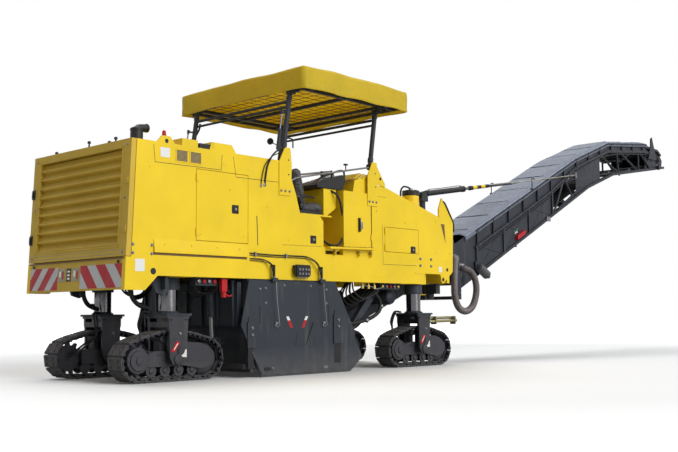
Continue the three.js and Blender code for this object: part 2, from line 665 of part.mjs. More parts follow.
// -------------------------------------------------------------- milling gear
function millingGear() {
  const roofZ = FRAME_BOTTOM - GAP;
  const roofBack = 1700;
  const roofFront = 3180;
  const shell = [
    [1720, 130], [1650, 560], [roofBack, roofZ], [roofFront, roofZ], [3560, 480], [3500, 130], [3300, 70],
    [1950, 70],
  ];
  const inside = [
    [1600, -50], [1600, 700], [roofBack + 160, roofZ - 60], [roofFront - 40, roofZ - 60],
    [3440, 470], [3700, -50],
  ];
  const mouth = block(3000, 3800, -PRIMARY_HALF - 30, PRIMARY_HALF + 30, -50, 900);
  add('drum_housing', charcoal, fuse(
    [sideProfile(shell, -HOUSING_HALF, HOUSING_HALF)],
    [sideProfile(inside, -HOUSING_HALF + HOUSING_WALL, HOUSING_HALF - HOUSING_WALL), mouth]));

  for (const [name, side] of SIDES) {
    const inner = HALF_WIDTH + SIDE_PLATE_CLEAR;
    const [y0, y1] = span(side, inner, inner + SIDE_PLATE);
    const plate = [
      [1890, 2], [3410, 2], [3500, 60], [3650, 180], [3100, FRAME_BOTTOM - 20], [1690, FRAME_BOTTOM - 20],
      [1570, 600],
    ];
    const pieces = [sideProfile(plate, y0, y1)];
    const [b0, b1] = span(side, HOUSING_HALF + GAP, inner + 1);
    for (const x of [1960, 3120]) {
      pieces.push(block(x, x + 90, b0, b1, 300, 860));
    }
    add(`side_plate_${name}`, charcoal, fuse(pieces));
  }

  const drumHalf = HOUSING_HALF - HOUSING_WALL - 15;
  const shaftHalf = HOUSING_HALF - HOUSING_WALL - GAP;
  add('milling_drum', graphite, fuse([
    crosswise(DRUM_X, DRUM_Z, -drumHalf, drumHalf, DRUM_RADIUS, 32),
    crosswise(DRUM_X, DRUM_Z, -shaftHalf, shaftHalf, 70, 16),
  ]));

  const scraper = [
    [1770, 60], [1830, 60], [1850, 560], [1850, 930], [1800, 930], [1800, 560],
  ];
  const doorHalf = HOUSING_HALF - HOUSING_WALL - GAP;
  const blade = fuse([
    sideProfile(scraper, -doorHalf, doorHalf),
    crosswise(1825, 940, -doorHalf, doorHalf, 30, 12),
  ]);
  add('scraper_blade', charcoal, blade);
}

// --------------------------------------------------------- primary conveyor
function primaryConveyor() {
  const [x0, z0] = PRIMARY_TAIL;
  const [x1, z1] = PRIMARY_HEAD;
  const d = PRIMARY_DEPTH;
  const whole = [[x0, z0 - d / 2], [x1, z1 - d / 2], [x1, z1 + d / 2], [x0, z0 + d / 2]];
  const trough = [[x0 - 50, z0 + 10], [x1 + 50, z1 + 10], [x1 + 50, z1 + d], [x0 - 50, z0 + d]];
  const outside = toSolid(sideProfile(whole, -PRIMARY_HALF, PRIMARY_HALF));
  const inside = toSolid(sideProfile(trough, -PRIMARY_HALF + 30, PRIMARY_HALF - 30));
  add('pickup_conveyor', charcoal, toGeometry(outside.subtract(inside)));
}

// -------------------------------------- slewing frame and discharge conveyor
function slewFrame() {
  const inner = BOOM_HALF + CHEEK_CLEAR;
  const outer = inner + CHEEK;
  const cheek = [
    [CRADLE_X - 100, 950], [CRADLE_X + 80, 950], [CRADLE_X + 80, 1450], [SLEW_X + 80, 2060],
    [SLEW_X - 60, 2060], [SLEW_X - 60, 1980], [CRADLE_X - 120, 1500],
  ];
  const lug = 40;
  const pieces = [
    sideProfile(cheek, -outer, -inner),
    sideProfile(cheek, inner, outer),
    block(CRADLE_X - 100, CRADLE_X + 80, -outer, outer, 950, 1000),
    block(SLEW_X - 80, CRADLE_X - 99, -90, 90, 950, 1000),
    block(SLEW_X - 60, SLEW_X + 80, -outer, outer, 1990, 2060),
    upright(SLEW_X, 0, 999, LOWER_ARM[1], SLEW_PIN, 24),
    upright(SLEW_X, 0, 2059, MAST_TOP - 90, SLEW_PIN, 24),
    block(SLEW_X - 70, SLEW_X + 70, -lug - 25, lug + 25, MAST_TOP - 120, MAST_TOP - 60),
    crosswise(SLEW_X, MAST_TOP, -lug - 25, lug + 25, EYE_PIN, 16),
  ];
  for (const [, side] of SIDES) {
    const [y0, y1] = span(side, lug, lug + 25);
    pieces.push(sideProfile([
      [SLEW_X - 70, MAST_TOP - 61], [SLEW_X + 70, MAST_TOP - 61], [SLEW_X + 30, MAST_TOP + 40],
      [SLEW_X - 30, MAST_TOP + 40],
    ], y0, y1));
  }
  const bores = [crosswise(CRADLE_X, BOOM_PIVOT_Z, -outer - 50, outer + 50, holeFor(BOOM_PIN, 16), 16)];
  add('conveyor_slew_frame', charcoal, fuse(pieces, bores));
}

function dischargeConveyor() {
  const tip = OVERALL_LENGTH;
  const tail = [[6440, 1400], [6450, 1120]];
  const profile = [...tail, ...BOOM_BOTTOM, [tip, 3850], [tip, 3920], ...[...BOOM_TOP].reverse()];
  const rise = 60;
  const hollow = [
    [6300, 1180], ...BOOM_BOTTOM.map(([x, z]) => [x, z + rise]), [tip + 100, 3850 + rise + 60],
    [tip + 100, 4700], [6300, 4700],
  ];
  const trough = toSolid(sideProfile(profile, -BOOM_HALF, BOOM_HALF))
    .subtract(toSolid(sideProfile(hollow, -BOOM_HALF + BOOM_WALL, BOOM_HALF - BOOM_WALL)));
  const reach = BOOM_HALF + CHEEK_CLEAR + CHEEK;
  const anchors = [];
  for (const [, side] of SIDES) {
    const [p0, p1] = span(side, BOOM_HALF - BOOM_WALL, reach);
    anchors.push(crosswise(CRADLE_X, BOOM_PIVOT_Z, p0, p1, BOOM_PIN, 16));
    const [a0, a1] = span(side, BOOM_HALF - 1, BOOM_HALF + 4);
    anchors.push(block(ROPE_ANCHOR[0] + 12, ROPE_ANCHOR[0] + 180, a0, a1, 3220, 3360));
    const [b0, b1] = span(side, BOOM_HALF + 3, BOOM_HALF + 50);
    anchors.push(block(ROPE_ANCHOR[0] + 12, ROPE_ANCHOR[0] + 60, b0, b1, 3240, 3340));
  }
  anchors.push(sideProfile([
    [MARKER_X - 90, MARKER_FOOT], [MARKER_X + 90, MARKER_FOOT], [MARKER_X + 12, MARKER_TOP],
    [MARKER_X - 12, MARKER_TOP],
  ], -BOOM_HALF, -BOOM_HALF + BOOM_WALL));
  const frame = anchors.reduce((solid, piece) => solid.add(toSolid(piece)), trough);
  add('discharge_conveyor_frame', charcoal, toGeometry(frame));

  const coverEnds = [[COVER_BACK, heightOn(BOOM_TOP, COVER_BACK)], [COVER_FRONT, heightOn(BOOM_TOP, COVER_FRONT)]];
  const under = [coverEnds[0], ...BOOM_TOP.slice(1, 4), coverEnds[1]];
  const cover = [
    ...under.map(([x, z]) => [x, z + GAP]),
    ...[...under].reverse().map(([x, z]) => [x, z + COVER_DEPTH]),
  ];
  add('conveyor_cover', coverCloth, sideProfile(cover, -BOOM_HALF - 6, BOOM_HALF + 6));
}

// The cylinder hangs between the mast and the ropes that hold the conveyor up.
function suspension() {
  const slope = Math.atan2(ROPE_ANCHOR[1] - MAST_TOP, ROPE_ANCHOR[0] - SLEW_X);
  const along = (distance, y = 0) => [
    SLEW_X + distance * Math.cos(slope), y, MAST_TOP + distance * Math.sin(slope),
  ];
  const boreRadius = holeFor(ROD_RADIUS, 16);
  const eye = toSolid(crosswise(SLEW_X, MAST_TOP, -34, 34, 42, 20))
    .add(toSolid(bar(along(10), along(90), 30, 16)))
    .add(toSolid(bar(along(85), along(BARREL_LENGTH), BARREL_RADIUS, 20)))
    .subtract(toSolid(crosswise(SLEW_X, MAST_TOP, -60, 60, holeFor(EYE_PIN, 16), 16)))
    .subtract(toSolid(bar(along(130), along(BARREL_LENGTH + 10), boreRadius, 16)));
  add('suspension_barrel', black, toGeometry(eye));

  const spreaderAt = (SPREADER_X - SLEW_X) / Math.cos(slope);
  const [sx, , sz] = along(spreaderAt);
  const end = (ROPE_ANCHOR[0] - SLEW_X) / Math.cos(slope);
  const pieces = [
    bar(along(260), along(BARREL_LENGTH + 220), ROD_RADIUS, 16),
    bar(along(BARREL_LENGTH + 200), along(spreaderAt), 28, 12),
    crosswise(sx, sz, -ROPE_Y - 15, ROPE_Y + 15, 26, 16),
  ];
  for (const [, side] of SIDES) {
    pieces.push(bar(along(spreaderAt, side * ROPE_Y), along(end, side * ROPE_Y), ROPE_RADIUS, 8));
  }
  add('suspension_rod', steel, fuse(pieces));
}

// -------------------------------------------------------------------- canopy
function canopy() {
  const plateInner = HALF_WIDTH + GAP;
  const plateOuter = plateInner + BRACKET;
  const corners = [['rear', REAR_POST_X], ['front', FRONT_POST_X]];
  for (const [end, x] of corners) {
    for (const [name, side] of SIDES) {
      const plate = [
        [x - 140, 2160], [x + 55, 2160], [x + 70, 2560], [x + 45, POST_FOOT_Z + 50],
        [x - 45, POST_FOOT_Z + 50], [x - 140, 2560],
      ];
      const seat = end === 'rear' ? GAP : OPEN_PIVOT;
      const reach = span(side, POST_Y + POST_RADIUS + seat, plateInner + 1);
      const foot = crosswise(x, POST_FOOT_Z, ...reach, POST_PIN, 12);
      const [y0, y1] = span(side, plateInner, plateOuter);
      add(`canopy_bracket_${end}_${name}`, yellow, fuse([sideProfile(plate, y0, y1), foot]));
    }
  }

  for (const [end, x] of corners) {
    const pieces = [];
    for (const [, side] of SIDES) {
      const y = side * POST_Y;
      const head = [x + POST_FORWARD, y, POST_TOP_Z];
      pieces.push(bar([x, y, POST_FOOT_Z], head, POST_RADIUS, 16));
      pieces.push(crosswise(x, POST_FOOT_Z, y - POST_RADIUS, y + POST_RADIUS, 42, 20));
      pieces.push(crosswise(head[0], head[2], y - POST_RADIUS, y + POST_RADIUS, 40, 20));
      const [p0, p1] = span(side, POST_Y + POST_RADIUS - 1, POST_Y + POST_RADIUS + 50);
      pieces.push(crosswise(head[0], head[2], p0, p1, POST_PIN, 12));
    }
    const rung = POST_TOP_Z - 120;
    const lean = POST_FORWARD * (rung - POST_FOOT_Z) / (POST_TOP_Z - POST_FOOT_Z);
    pieces.push(crosswise(x + lean, rung, -POST_Y, POST_Y, 20, 12));
    add(`canopy_posts_${end}`, charcoal, fuse(pieces));
  }

  const tube = 20;
  const railLow = CANOPY_RIM + 20;
  const railHigh = railLow + 2 * tube;
  const rails = [];
  const edge = CANOPY_HALF - CANOPY_CLOTH - GAP;
  const back = CANOPY_BACK + CANOPY_CLOTH + GAP;
  const front = CANOPY_FRONT - CANOPY_CLOTH - GAP;
  const lugY = POST_Y + POST_RADIUS + 30;
  for (const [, side] of SIDES) {
    rails.push(block(back, front, ...span(side, edge - 2 * tube, edge), railLow, railHigh));
    rails.push(block(back, front, ...span(side, lugY - tube, lugY + tube), railLow, railHigh));
    for (const [, x] of corners) {
      const headX = x + POST_FORWARD;
      rails.push(block(headX - 30, headX + 30, ...span(side, lugY - 12, lugY + 12), POST_TOP_Z - 35, railLow + 1));
    }
  }
  const hoops = [
    back + tube, REAR_POST_X + POST_FORWARD + 60, (back + front) / 2, FRONT_POST_X + POST_FORWARD + 60,
    front - tube,
  ];
  for (const x of hoops) {
    rails.push(block(x - tube, x + tube, -edge + 1, edge - 1, railLow + 1, railHigh - 1));
  }
  const pinHoles = [];
  for (const [, x] of corners) {
    pinHoles.push(crosswise(x + POST_FORWARD, POST_TOP_Z, -1000, 1000, holeFor(POST_PIN, 12), 12));
  }
  add('canopy_frame', charcoal, fuse(rails, pinHoles));

  const dome = (inset, rim) => {
    const half = CANOPY_HALF - inset;
    const x0 = CANOPY_BACK + inset;
    const x1 = CANOPY_FRONT - inset;
    const edgeZ = CANOPY_EDGE - inset;
    const crown = CANOPY_CROWN - inset;
    const along = sideProfile([
      [x0, rim], [x1, rim], [x1, edgeZ - 60], [x1 - 60, edgeZ], [(x0 + x1) / 2, crown],
      [x0 + 60, edgeZ], [x0, edgeZ - 60],
    ], -half, half);
    const across = crossProfile([
      [-half, rim], [half, rim], [half, edgeZ - 60], [half - 60, edgeZ], [0, crown],
      [-half + 60, edgeZ], [-half, edgeZ - 60],
    ], x0, x1);
    return toSolid(along).intersect(toSolid(across));
  };
  const cloth = dome(0, CANOPY_RIM).subtract(dome(CANOPY_CLOTH, CANOPY_RIM - 50));
  add('canopy_cover', tarpaulin, toGeometry(cloth));
}

chassis();
rearEnd();
hood();
station();
frontBody();
runningGear();
millingGear();
primaryConveyor();
slewFrame();
dischargeConveyor();
suspension();
canopy();

export default machine;
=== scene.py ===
"""Cold planer: finishes, small parts, cloth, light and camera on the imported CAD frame.

Stations along the machine are metres forward of the foot of its rear panel.
"""

import json
import math

import bpy
from mathutils import Matrix, Vector


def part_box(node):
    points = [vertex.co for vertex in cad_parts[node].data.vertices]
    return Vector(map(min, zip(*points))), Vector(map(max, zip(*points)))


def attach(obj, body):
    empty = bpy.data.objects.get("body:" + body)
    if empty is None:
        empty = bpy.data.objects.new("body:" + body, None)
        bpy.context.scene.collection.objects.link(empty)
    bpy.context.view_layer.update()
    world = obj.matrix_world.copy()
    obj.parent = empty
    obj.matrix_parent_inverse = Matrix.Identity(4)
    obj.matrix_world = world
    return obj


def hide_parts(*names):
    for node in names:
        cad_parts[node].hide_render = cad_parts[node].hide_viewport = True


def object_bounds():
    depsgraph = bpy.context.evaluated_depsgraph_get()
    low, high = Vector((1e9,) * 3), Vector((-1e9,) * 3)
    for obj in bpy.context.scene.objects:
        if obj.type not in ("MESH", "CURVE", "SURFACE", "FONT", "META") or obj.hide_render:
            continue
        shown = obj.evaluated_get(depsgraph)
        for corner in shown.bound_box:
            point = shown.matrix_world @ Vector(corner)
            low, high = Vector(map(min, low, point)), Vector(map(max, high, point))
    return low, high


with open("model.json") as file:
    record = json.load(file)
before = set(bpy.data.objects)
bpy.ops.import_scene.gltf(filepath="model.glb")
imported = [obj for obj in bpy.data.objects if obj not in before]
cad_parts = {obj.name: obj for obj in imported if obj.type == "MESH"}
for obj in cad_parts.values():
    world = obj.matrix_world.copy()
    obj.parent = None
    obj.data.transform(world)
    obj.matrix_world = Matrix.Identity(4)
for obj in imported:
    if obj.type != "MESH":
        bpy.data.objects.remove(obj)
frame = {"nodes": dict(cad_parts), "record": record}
CAD_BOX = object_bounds()

REAR = CAD_BOX[0][0]
NODES = frame["nodes"]
SIDES = (("right", -1), ("left", 1))


# ------------------------------------------------------------- dimensions (m)
HALF = 0.975
HOOD_TOP = 2.58
LEAN = 0.045
REAR_FOOT = 0.985

AXLES = {"rear_right": (0.812, -0.64), "rear_left": (0.812, 0.64), "front_right": (4.96, -0.815),
    "front_left": (4.96, 0.815)}
TRACK_RADIUS = 0.238
TRACK_REACH = 0.467
TRACK_PEAK = 0.56
PEAK_HALF = 0.16
YOKE_TOP = 0.735
TRACK_WIDTH = 0.27
SHOE_COUNT = 22
PIN_DEPTH = 0.033

BOOM_TOP = ((6.48, 1.79), (10.39, 3.61), (11.7, 4.08), (13.3, 4.27), (13.95, 4.29))
BOOM_LOW = ((6.53, 1.05), (10.87, 3.1), (11.89, 3.45), (14.3, 3.85))

CANOPY = (2.4, 4.41)
CANOPY_HALF = 1.2
CANOPY_RIM = 3.5
CANOPY_EDGE = 3.785
CANOPY_CROWN = 3.84

SEAT_FOOT = 1.9703
SEAT_LINE = 0.69            # middle of a seat from the machine's middle
BOOM_FACE = (0.396, 0.404)  # inner and outer face of the conveyor's side walls
BELT_DEPTH = 0.27
BELT_CEILING = 4.13         # the belt's edge stays under this at the head
HEAD_X, HEAD_Z = 14.02, 4.0       # axle of the conveyor's head drum
PIVOT_X, PIVOT_Z = 6.52, 1.33     # pin that the conveyor lifts about
COVER_HALF = 0.425
BRACE_TIP = 13.62           # station of the last brace at the head
SHARP_ANGLE = math.radians(35)
BEVEL_ANGLE = math.radians(40)
CUSHION_VOXEL = 0.009
CHANNEL_WIDTH = 0.011
SEAM_RISE = 0.0009
SCREEN_WIRES = 9


def at(x, y, z):
    """A point by its station, in the frame that the bodies are in."""
    return Vector((REAR + x, y, z))


def circle(count, start=0):
    """Cosine and sine of evenly spaced angles; start is a share of one step."""
    turns = [2 * math.pi * (i + start) / count for i in range(count)]
    return [(math.cos(t), math.sin(t)) for t in turns]


def rear_face(z):
    return (z - REAR_FOOT) * LEAN


# -------------------------------------------------------------- shape builder
class Shape:
    """Simple solids gathered into one mesh, each with the number of its material."""

    def __init__(self):
        self.verts = []
        self.faces = []
        self.paints = []

    def add(self, verts, faces, paint=0):
        base = len(self.verts)
        self.verts.extend(Vector(v) for v in verts)
        self.faces.extend([base + i for i in f] for f in faces)
        self.paints.extend([paint] * len(faces))

    def copy_in(self, other, matrix):
        base = len(self.verts)
        self.verts.extend(matrix @ v for v in other.verts)
        self.faces.extend([base + i for i in f] for f in other.faces)
        self.paints.extend(other.paints)

    def add_box(self, low, high, tone=0):
        """A box between two corners given in the local frame."""
        ring = [Vector((x, y, low.z)) for x, y in ((low.x, low.y), (high.x, low.y),
            (high.x, high.y), (low.x, high.y))]
        self.prism(ring[::-1], [v + Vector((0, 0, high.z - low.z)) for v in ring][::-1], tone)

    def slab(self, low, high, paint=0):
        (x0, y0, z0), (x1, y1, z1) = low, high
        x0, x1 = sorted((x0, x1))
        y0, y1 = sorted((y0, y1))
        z0, z1 = sorted((z0, z1))
        self.side([(x0, z0), (x1, z0), (x1, z1), (x0, z1)], y0, y1, paint)

    def prism(self, low_ring, high_ring, paint=0):
        n = len(low_ring)
        walls = [[i, (i + 1) % n, n + (i + 1) % n, n + i] for i in range(n)]
        caps = [list(range(n))[::-1], list(range(n, 2 * n))]
        self.add([*low_ring, *high_ring], walls + caps, paint)

    def side(self, points, y0, y1, paint=0):
        """An outline of (station, z) points carried across from y0 to y1."""
        y0, y1 = sorted((y0, y1))
        area = sum(a[0] * b[1] - b[0] * a[1] for a, b in zip(points, points[1:] + points[:1]))
        if area > 0:
            points = points[::-1]
        self.prism([at(x, y0, z) for x, z in points], [at(x, y1, z) for x, z in points], paint)

    def cross(self, points, x0, x1, paint=0):
        """An outline of (y, z) points carried forward from x0 to x1."""
        x0, x1 = sorted((x0, x1))
        area = sum(a[0] * b[1] - b[0] * a[1] for a, b in zip(points, points[1:] + points[:1]))
        if area < 0:
            points = points[::-1]
        self.prism([at(x0, y, z) for y, z in points], [at(x1, y, z) for y, z in points], paint)

    def turned(self, foot, axis, outline, paint=0, segments=16):
        """Rings of (height, radius) about an axis, closed at both ends."""
        axis = Vector(axis).normalized()
        a = axis.orthogonal().normalized()
        b = axis.cross(a)
        verts = []
        for height, radius in outline:
            for i in range(segments):
                t = 2 * math.pi * i / segments
                verts.append(foot + axis * height + (a * math.cos(t) + b * math.sin(t)) * radius)
        faces = []
        for ring in range(len(outline) - 1):
            for i in range(segments):
                j = (i + 1) % segments
                low, high = ring * segments, (ring + 1) * segments
                faces.append([low + i, low + j, high + j, high + i])
        last = (len(outline) - 1) * segments
        faces.append(list(range(segments))[::-1])
        faces.append([last + i for i in range(segments)])
        self.add(verts, faces, paint)

    def rod(self, a, b, radius, paint=0, segments=12):
        run = b - a
        self.turned(a, run, [(0, radius), (run.length, radius)], paint, segments)

    def pipe(self, points, radius, paint=0, segments=10, steps=6, closed=False, waist=1.0):
        """A round hose through the points, smoothed between them; waist narrows every other ring."""
        line = smooth_line(points, steps, closed)
        ahead = (line[1] - line[0]).normalized()
        normal = ahead.orthogonal().normalized()
        verts = []
        for i, p in enumerate(line):
            before = line[i - 1] if i or closed else line[0]
            after = line[(i + 1) % len(line)] if i + 1 < len(line) or closed else line[-1]
            ahead = (after - before).normalized()
            normal = (normal - ahead * normal.dot(ahead)).normalized()
            other = ahead.cross(normal)
            r = radius * (1.0 if i % 2 else waist)
            for k in range(segments):
                t = 2 * math.pi * k / segments
                verts.append(p + (normal * math.cos(t) + other * math.sin(t)) * r)
        faces = []
        runs = len(line) if closed else len(line) - 1
        for i in range(runs):
            j = (i + 1) % len(line)
            for k in range(segments):
                m = (k + 1) % segments
                faces.append([i * segments + k, i * segments + m, j * segments + m, j * segments + k])
        if not closed:
            last = (len(line) - 1) * segments
            faces.append(list(range(segments))[::-1])
            faces.append([last + k for k in range(segments)])
        self.add(verts, faces, paint)

    def hose(self, places, *rest):
        """A pipe through places given as (station, y, z)."""
        self.pipe([at(*place) for place in places], *rest)

    def hose_at(self, y, places, *rest):
        """A pipe in the upright plane at y, through (station, z) places."""
        self.pipe([at(x, y, z) for x, z in places], *rest)

    def bar(self, a, b, *rest):
        self.rod(at(*a), at(*b), *rest)

    def disc(self, side, x, y, z, *rest):
        """Rings about an axis that runs out to one side."""
        self.turned(at(x, y, z), (0, side, 0), *rest)

    def post(self, x, y, z, *rest):
        """Rings about an upright axis."""
        self.turned(at(x, y, z), (0, 0, 1), *rest)

    def pad(self, x0, x1, z0, z1, face, rise, paint=0):
        """A slab on an upright face, rise thick."""
        self.slab((x0, face, z0), (x1, face + rise, z1), paint)

    def plate(self, points, face, rise, paint=0):
        """An outline of (station, z) points on an upright face, rise thick."""
        self.side(points, face, face + rise, paint)

    def side_bolt(self, side, x, y, z, *rest):
        self.bolt(at(x, y, z), (0, side, 0), *rest)

    def top_bolt(self, x, y, z, *rest):
        self.bolt(at(x, y, z), (0, 0, 1), *rest)

    def bolt(self, place, facing, size=0.012, paint=0):
        """A hexagon head on a washer."""
        facing = Vector(facing).normalized()
        self.turned(place, facing, [(-0.002, size * 1.25), (size * 0.25, size * 1.25)], paint, 14)
        self.turned(place, facing, [(size * 0.2, size), (size * 0.85, size),
            (size, size * 0.8)], paint, 6)


def smooth_line(points, steps, closed=False):
    """Catmull-Rom points through the given ones."""
    pts = [Vector(p) for p in points]
    if len(pts) < 3 or steps < 2:
        return pts
    out = []
    n = len(pts)
    for i in range(n if closed else n - 1):
        p1, p2 = pts[i], pts[(i + 1) % n]
        p0 = pts[i - 1] if i or closed else p1 * 2 - p2
        p3 = pts[(i + 2) % n] if i + 2 < n or closed else p2 * 2 - p1
        for k in range(steps):
            t = k / steps
            out.append(0.5 * (2 * p1 + (p2 - p0) * t + (2 * p0 - 5 * p1 + 4 * p2 - p3)
                * t ** 2 + (3 * p1 - p0 - 3 * p2 + p3) * t ** 3))
    if not closed:
        out.append(pts[-1])
    return out


def mesh_of(name, verts, faces):
    mesh = bpy.data.meshes.new(name)
    mesh.from_pydata(verts, [], faces)
    return mesh


def placed(name, data):
    """A new object in the scene."""
    obj = bpy.data.objects.new(name, data)
    bpy.context.scene.collection.objects.link(obj)
    return obj


def smooth(mesh):
    mesh.polygons.foreach_set("use_smooth", [True] * len(mesh.polygons))


def sheet_object(name, mesh, material, thick):
    """A cloth sheet with a thickness, from a mesh of its outer face."""
    mesh.materials.append(material)
    smooth(mesh)
    obj = placed(name, mesh)
    shell = obj.modifiers.new("cloth_thickness", "SOLIDIFY")
    shell.thickness = thick
    shell.offset = -1
    return obj


def piece(name, shape, body, materials, bevel=0.0, segments=1):
    """Makes the shape an object that rides on a body."""
    mesh = mesh_of(name, shape.verts, shape.faces)
    for material in materials:
        mesh.materials.append(material)
    mesh.polygons.foreach_set("material_index", shape.paints)
    smooth(mesh)
    mesh.validate()
    mesh.set_sharp_from_angle(angle=SHARP_ANGLE)
    obj = placed(name, mesh)
    if bevel:
        edge = obj.modifiers.new("edges", "BEVEL")
        edge.width = bevel
        edge.segments = segments
        edge.limit_method = "ANGLE"
        edge.angle_limit = BEVEL_ANGLE
        edge.harden_normals = False
    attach(obj, body)
    return obj


# ------------------------------------------------------------------ materials
def nodes_of(name):
    material = bpy.data.materials.new(name)
    material.use_nodes = True
    tree = material.node_tree
    return material, tree, tree.nodes["Principled BSDF"]


def node(tree, kind, inputs=None, **settings):
    """A shader node with its input values and settings."""
    made = tree.nodes.new("ShaderNode" + kind)
    for key, value in settings.items():
        setattr(made, key, value)
    preset(made, inputs or {})
    return made


def preset(made, inputs):
    for key, value in inputs.items():
        made.inputs[key].default_value = value


def link(tree, a, out, b, into):
    tree.links.new(a.outputs[out], b.inputs[into])


def noise(tree, place, scale, detail=5.0, roughness=0.55):
    n = node(tree, "TexNoise", {"Scale": scale, "Detail": detail, "Roughness": roughness})
    link(tree, place, "Object" if place.bl_idname == "ShaderNodeTexCoord" else "Vector", n, "Vector")
    return n


def spread(tree, source, out, low, high, to_low=0.0, to_high=1.0):
    """Maps a value from one range to another."""
    m = node(tree, "MapRange", {"From Min": low, "From Max": high, "To Min": to_low, "To Max": to_high})
    link(tree, source, out, m, "Value")
    return m


def joined(tree, operation, a, out_a, b, out_b):
    """Two values in one sum, product or maximum."""
    m = node(tree, "Math", operation=operation)
    link(tree, a, out_a, m, 0)
    link(tree, b, out_b, m, 1)
    return m


def blended(tree, factor, a, b):
    """A mix of two shaders by a factor node or a number."""
    m = node(tree, "MixShader")
    if isinstance(factor, float):
        m.inputs[0].default_value = factor
    else:
        link(tree, factor, 0, m, 0)
    link(tree, a, 0, m, 1)
    link(tree, b, 0, m, 2)
    return m


def mixed(tree, factor, a, b):
    """Mix of two colours; each is a colour or a node with a Color or Result output."""
    m = node(tree, "Mix", data_type="RGBA")
    link(tree, factor, 0, m, 0)
    for value, socket in ((a, m.inputs[6]), (b, m.inputs[7])):
        if isinstance(value, tuple):
            socket.default_value = (*value, 1)
        else:
            tree.links.new(value.outputs[2 if value.bl_idname == "ShaderNodeMix" else 0], socket)
    return m


def metal_finish(name, colour, worn, dusty, rough=0.45, metallic=0.0, coat=0.0, grain=260.0,
        bump=0.15, wear=0.35, dust_top=0.0, specular=0.5):
    """Paint or metal: cloudy tone, fine grain, worn scratches, and dust that thins with height."""
    material, tree, shader = nodes_of(name)
    place = node(tree, "TexCoord")
    cloud = noise(tree, place, 1.6, 6.0)
    tone = mixed(tree, spread(tree, cloud, "Fac", 0.3, 0.7), colour, tuple(c * 0.86 for c in colour))
    streak_place = node(tree, "Mapping", {"Scale": (9.0, 9.0, 1.2)})
    link(tree, place, "Object", streak_place, "Vector")
    streak = noise(tree, streak_place, 1.0, 6.0)
    tone = mixed(tree, spread(tree, streak, "Fac", 0.56, 0.8, 0.0, 0.22), tone, dusty)
    chip = noise(tree, place, 34.0, 9.0, 0.7)
    tone = mixed(tree, spread(tree, chip, "Fac", 0.66, 0.72, 0.0, wear), tone, worn)
    if dust_top:
        height = node(tree, "SeparateXYZ")
        link(tree, place, "Object", height, "Vector")
        film = spread(tree, height, "Z", 0.0, dust_top, 0.35, 0.0)
        patch = joined(tree, "MULTIPLY", film, 0, noise(tree, place, 7.0, 8.0), 0)
        tone = mixed(tree, patch, tone, dusty)
    link(tree, tone, 2, shader, "Base Color")
    patchy = noise(tree, place, 11.0, 7.0)
    rough_map = spread(tree, patchy, "Fac", 0.3, 0.7, max(rough - 0.1, 0.05), min(rough + 0.12, 1.0))
    link(tree, rough_map, 0, shader, "Roughness")
    preset(shader, {"Metallic": metallic, "Coat Weight": coat, "Coat Roughness": 0.12,
        "Specular IOR Level": specular})
    raised = node(tree, "Bump", {"Strength": bump, "Distance": 0.001})
    link(tree, noise(tree, place, grain, 3.0), "Fac", raised, "Height")
    link(tree, raised, "Normal", shader, "Normal")
    return material


def woven(name, colour, shade, rough=0.75, pitch=900.0, folds=5.0, through=0.0):
    """Coated cloth: a crossed weave, soft soiling, slack wrinkles, and a share that light goes through."""
    material, tree, shader = nodes_of(name)
    place = node(tree, "TexCoord")
    cloud = noise(tree, place, 2.2, 7.0)
    tone = mixed(tree, spread(tree, cloud, "Fac", 0.35, 0.75, 0.0, 0.55), colour, shade)
    soiled = noise(tree, place, 14.0, 8.0)
    soil = spread(tree, soiled, "Fac", 0.55, 0.8, 0.0, 0.25)
    tone = mixed(tree, soil, tone, tuple(c * 0.6 for c in shade))
    threads = []
    for direction in ("X", "Y"):
        wave = node(tree, "TexWave", {"Scale": pitch / 20, "Distortion": 0.4}, bands_direction=direction)
        link(tree, place, "Object", wave, "Vector")
        threads.append(wave)
    both = joined(tree, "ADD", threads[0], "Fac", threads[1], "Fac")
    weave = node(tree, "Bump", {"Strength": 0.4, "Distance": 0.0008})
    link(tree, both, 0, weave, "Height")
    wrinkle = node(tree, "Bump", {"Strength": 0.5, "Distance": 0.02})
    link(tree, noise(tree, place, folds, 3.0), "Fac", wrinkle, "Height")
    link(tree, weave, "Normal", wrinkle, "Normal")
    link(tree, wrinkle, "Normal", shader, "Normal")
    link(tree, tone, 2, shader, "Base Color")
    rough_map = spread(tree, soiled, "Fac", 0.3, 0.7, rough - 0.1, rough + 0.1)
    link(tree, rough_map, 0, shader, "Roughness")
    preset(shader, {"Sheen Weight": 0.15})
    if through:
        glow = node(tree, "BsdfTranslucent")
        link(tree, tone, 2, glow, "Color")
        link(tree, blended(tree, through, shader, glow), 0, tree.nodes["Material Output"], 0)
    return material


YELLOW = (0.88, 0.615, 0.018)
SLATE = (0.034, 0.04, 0.05)
GREY_DUST = (0.3, 0.28, 0.25)

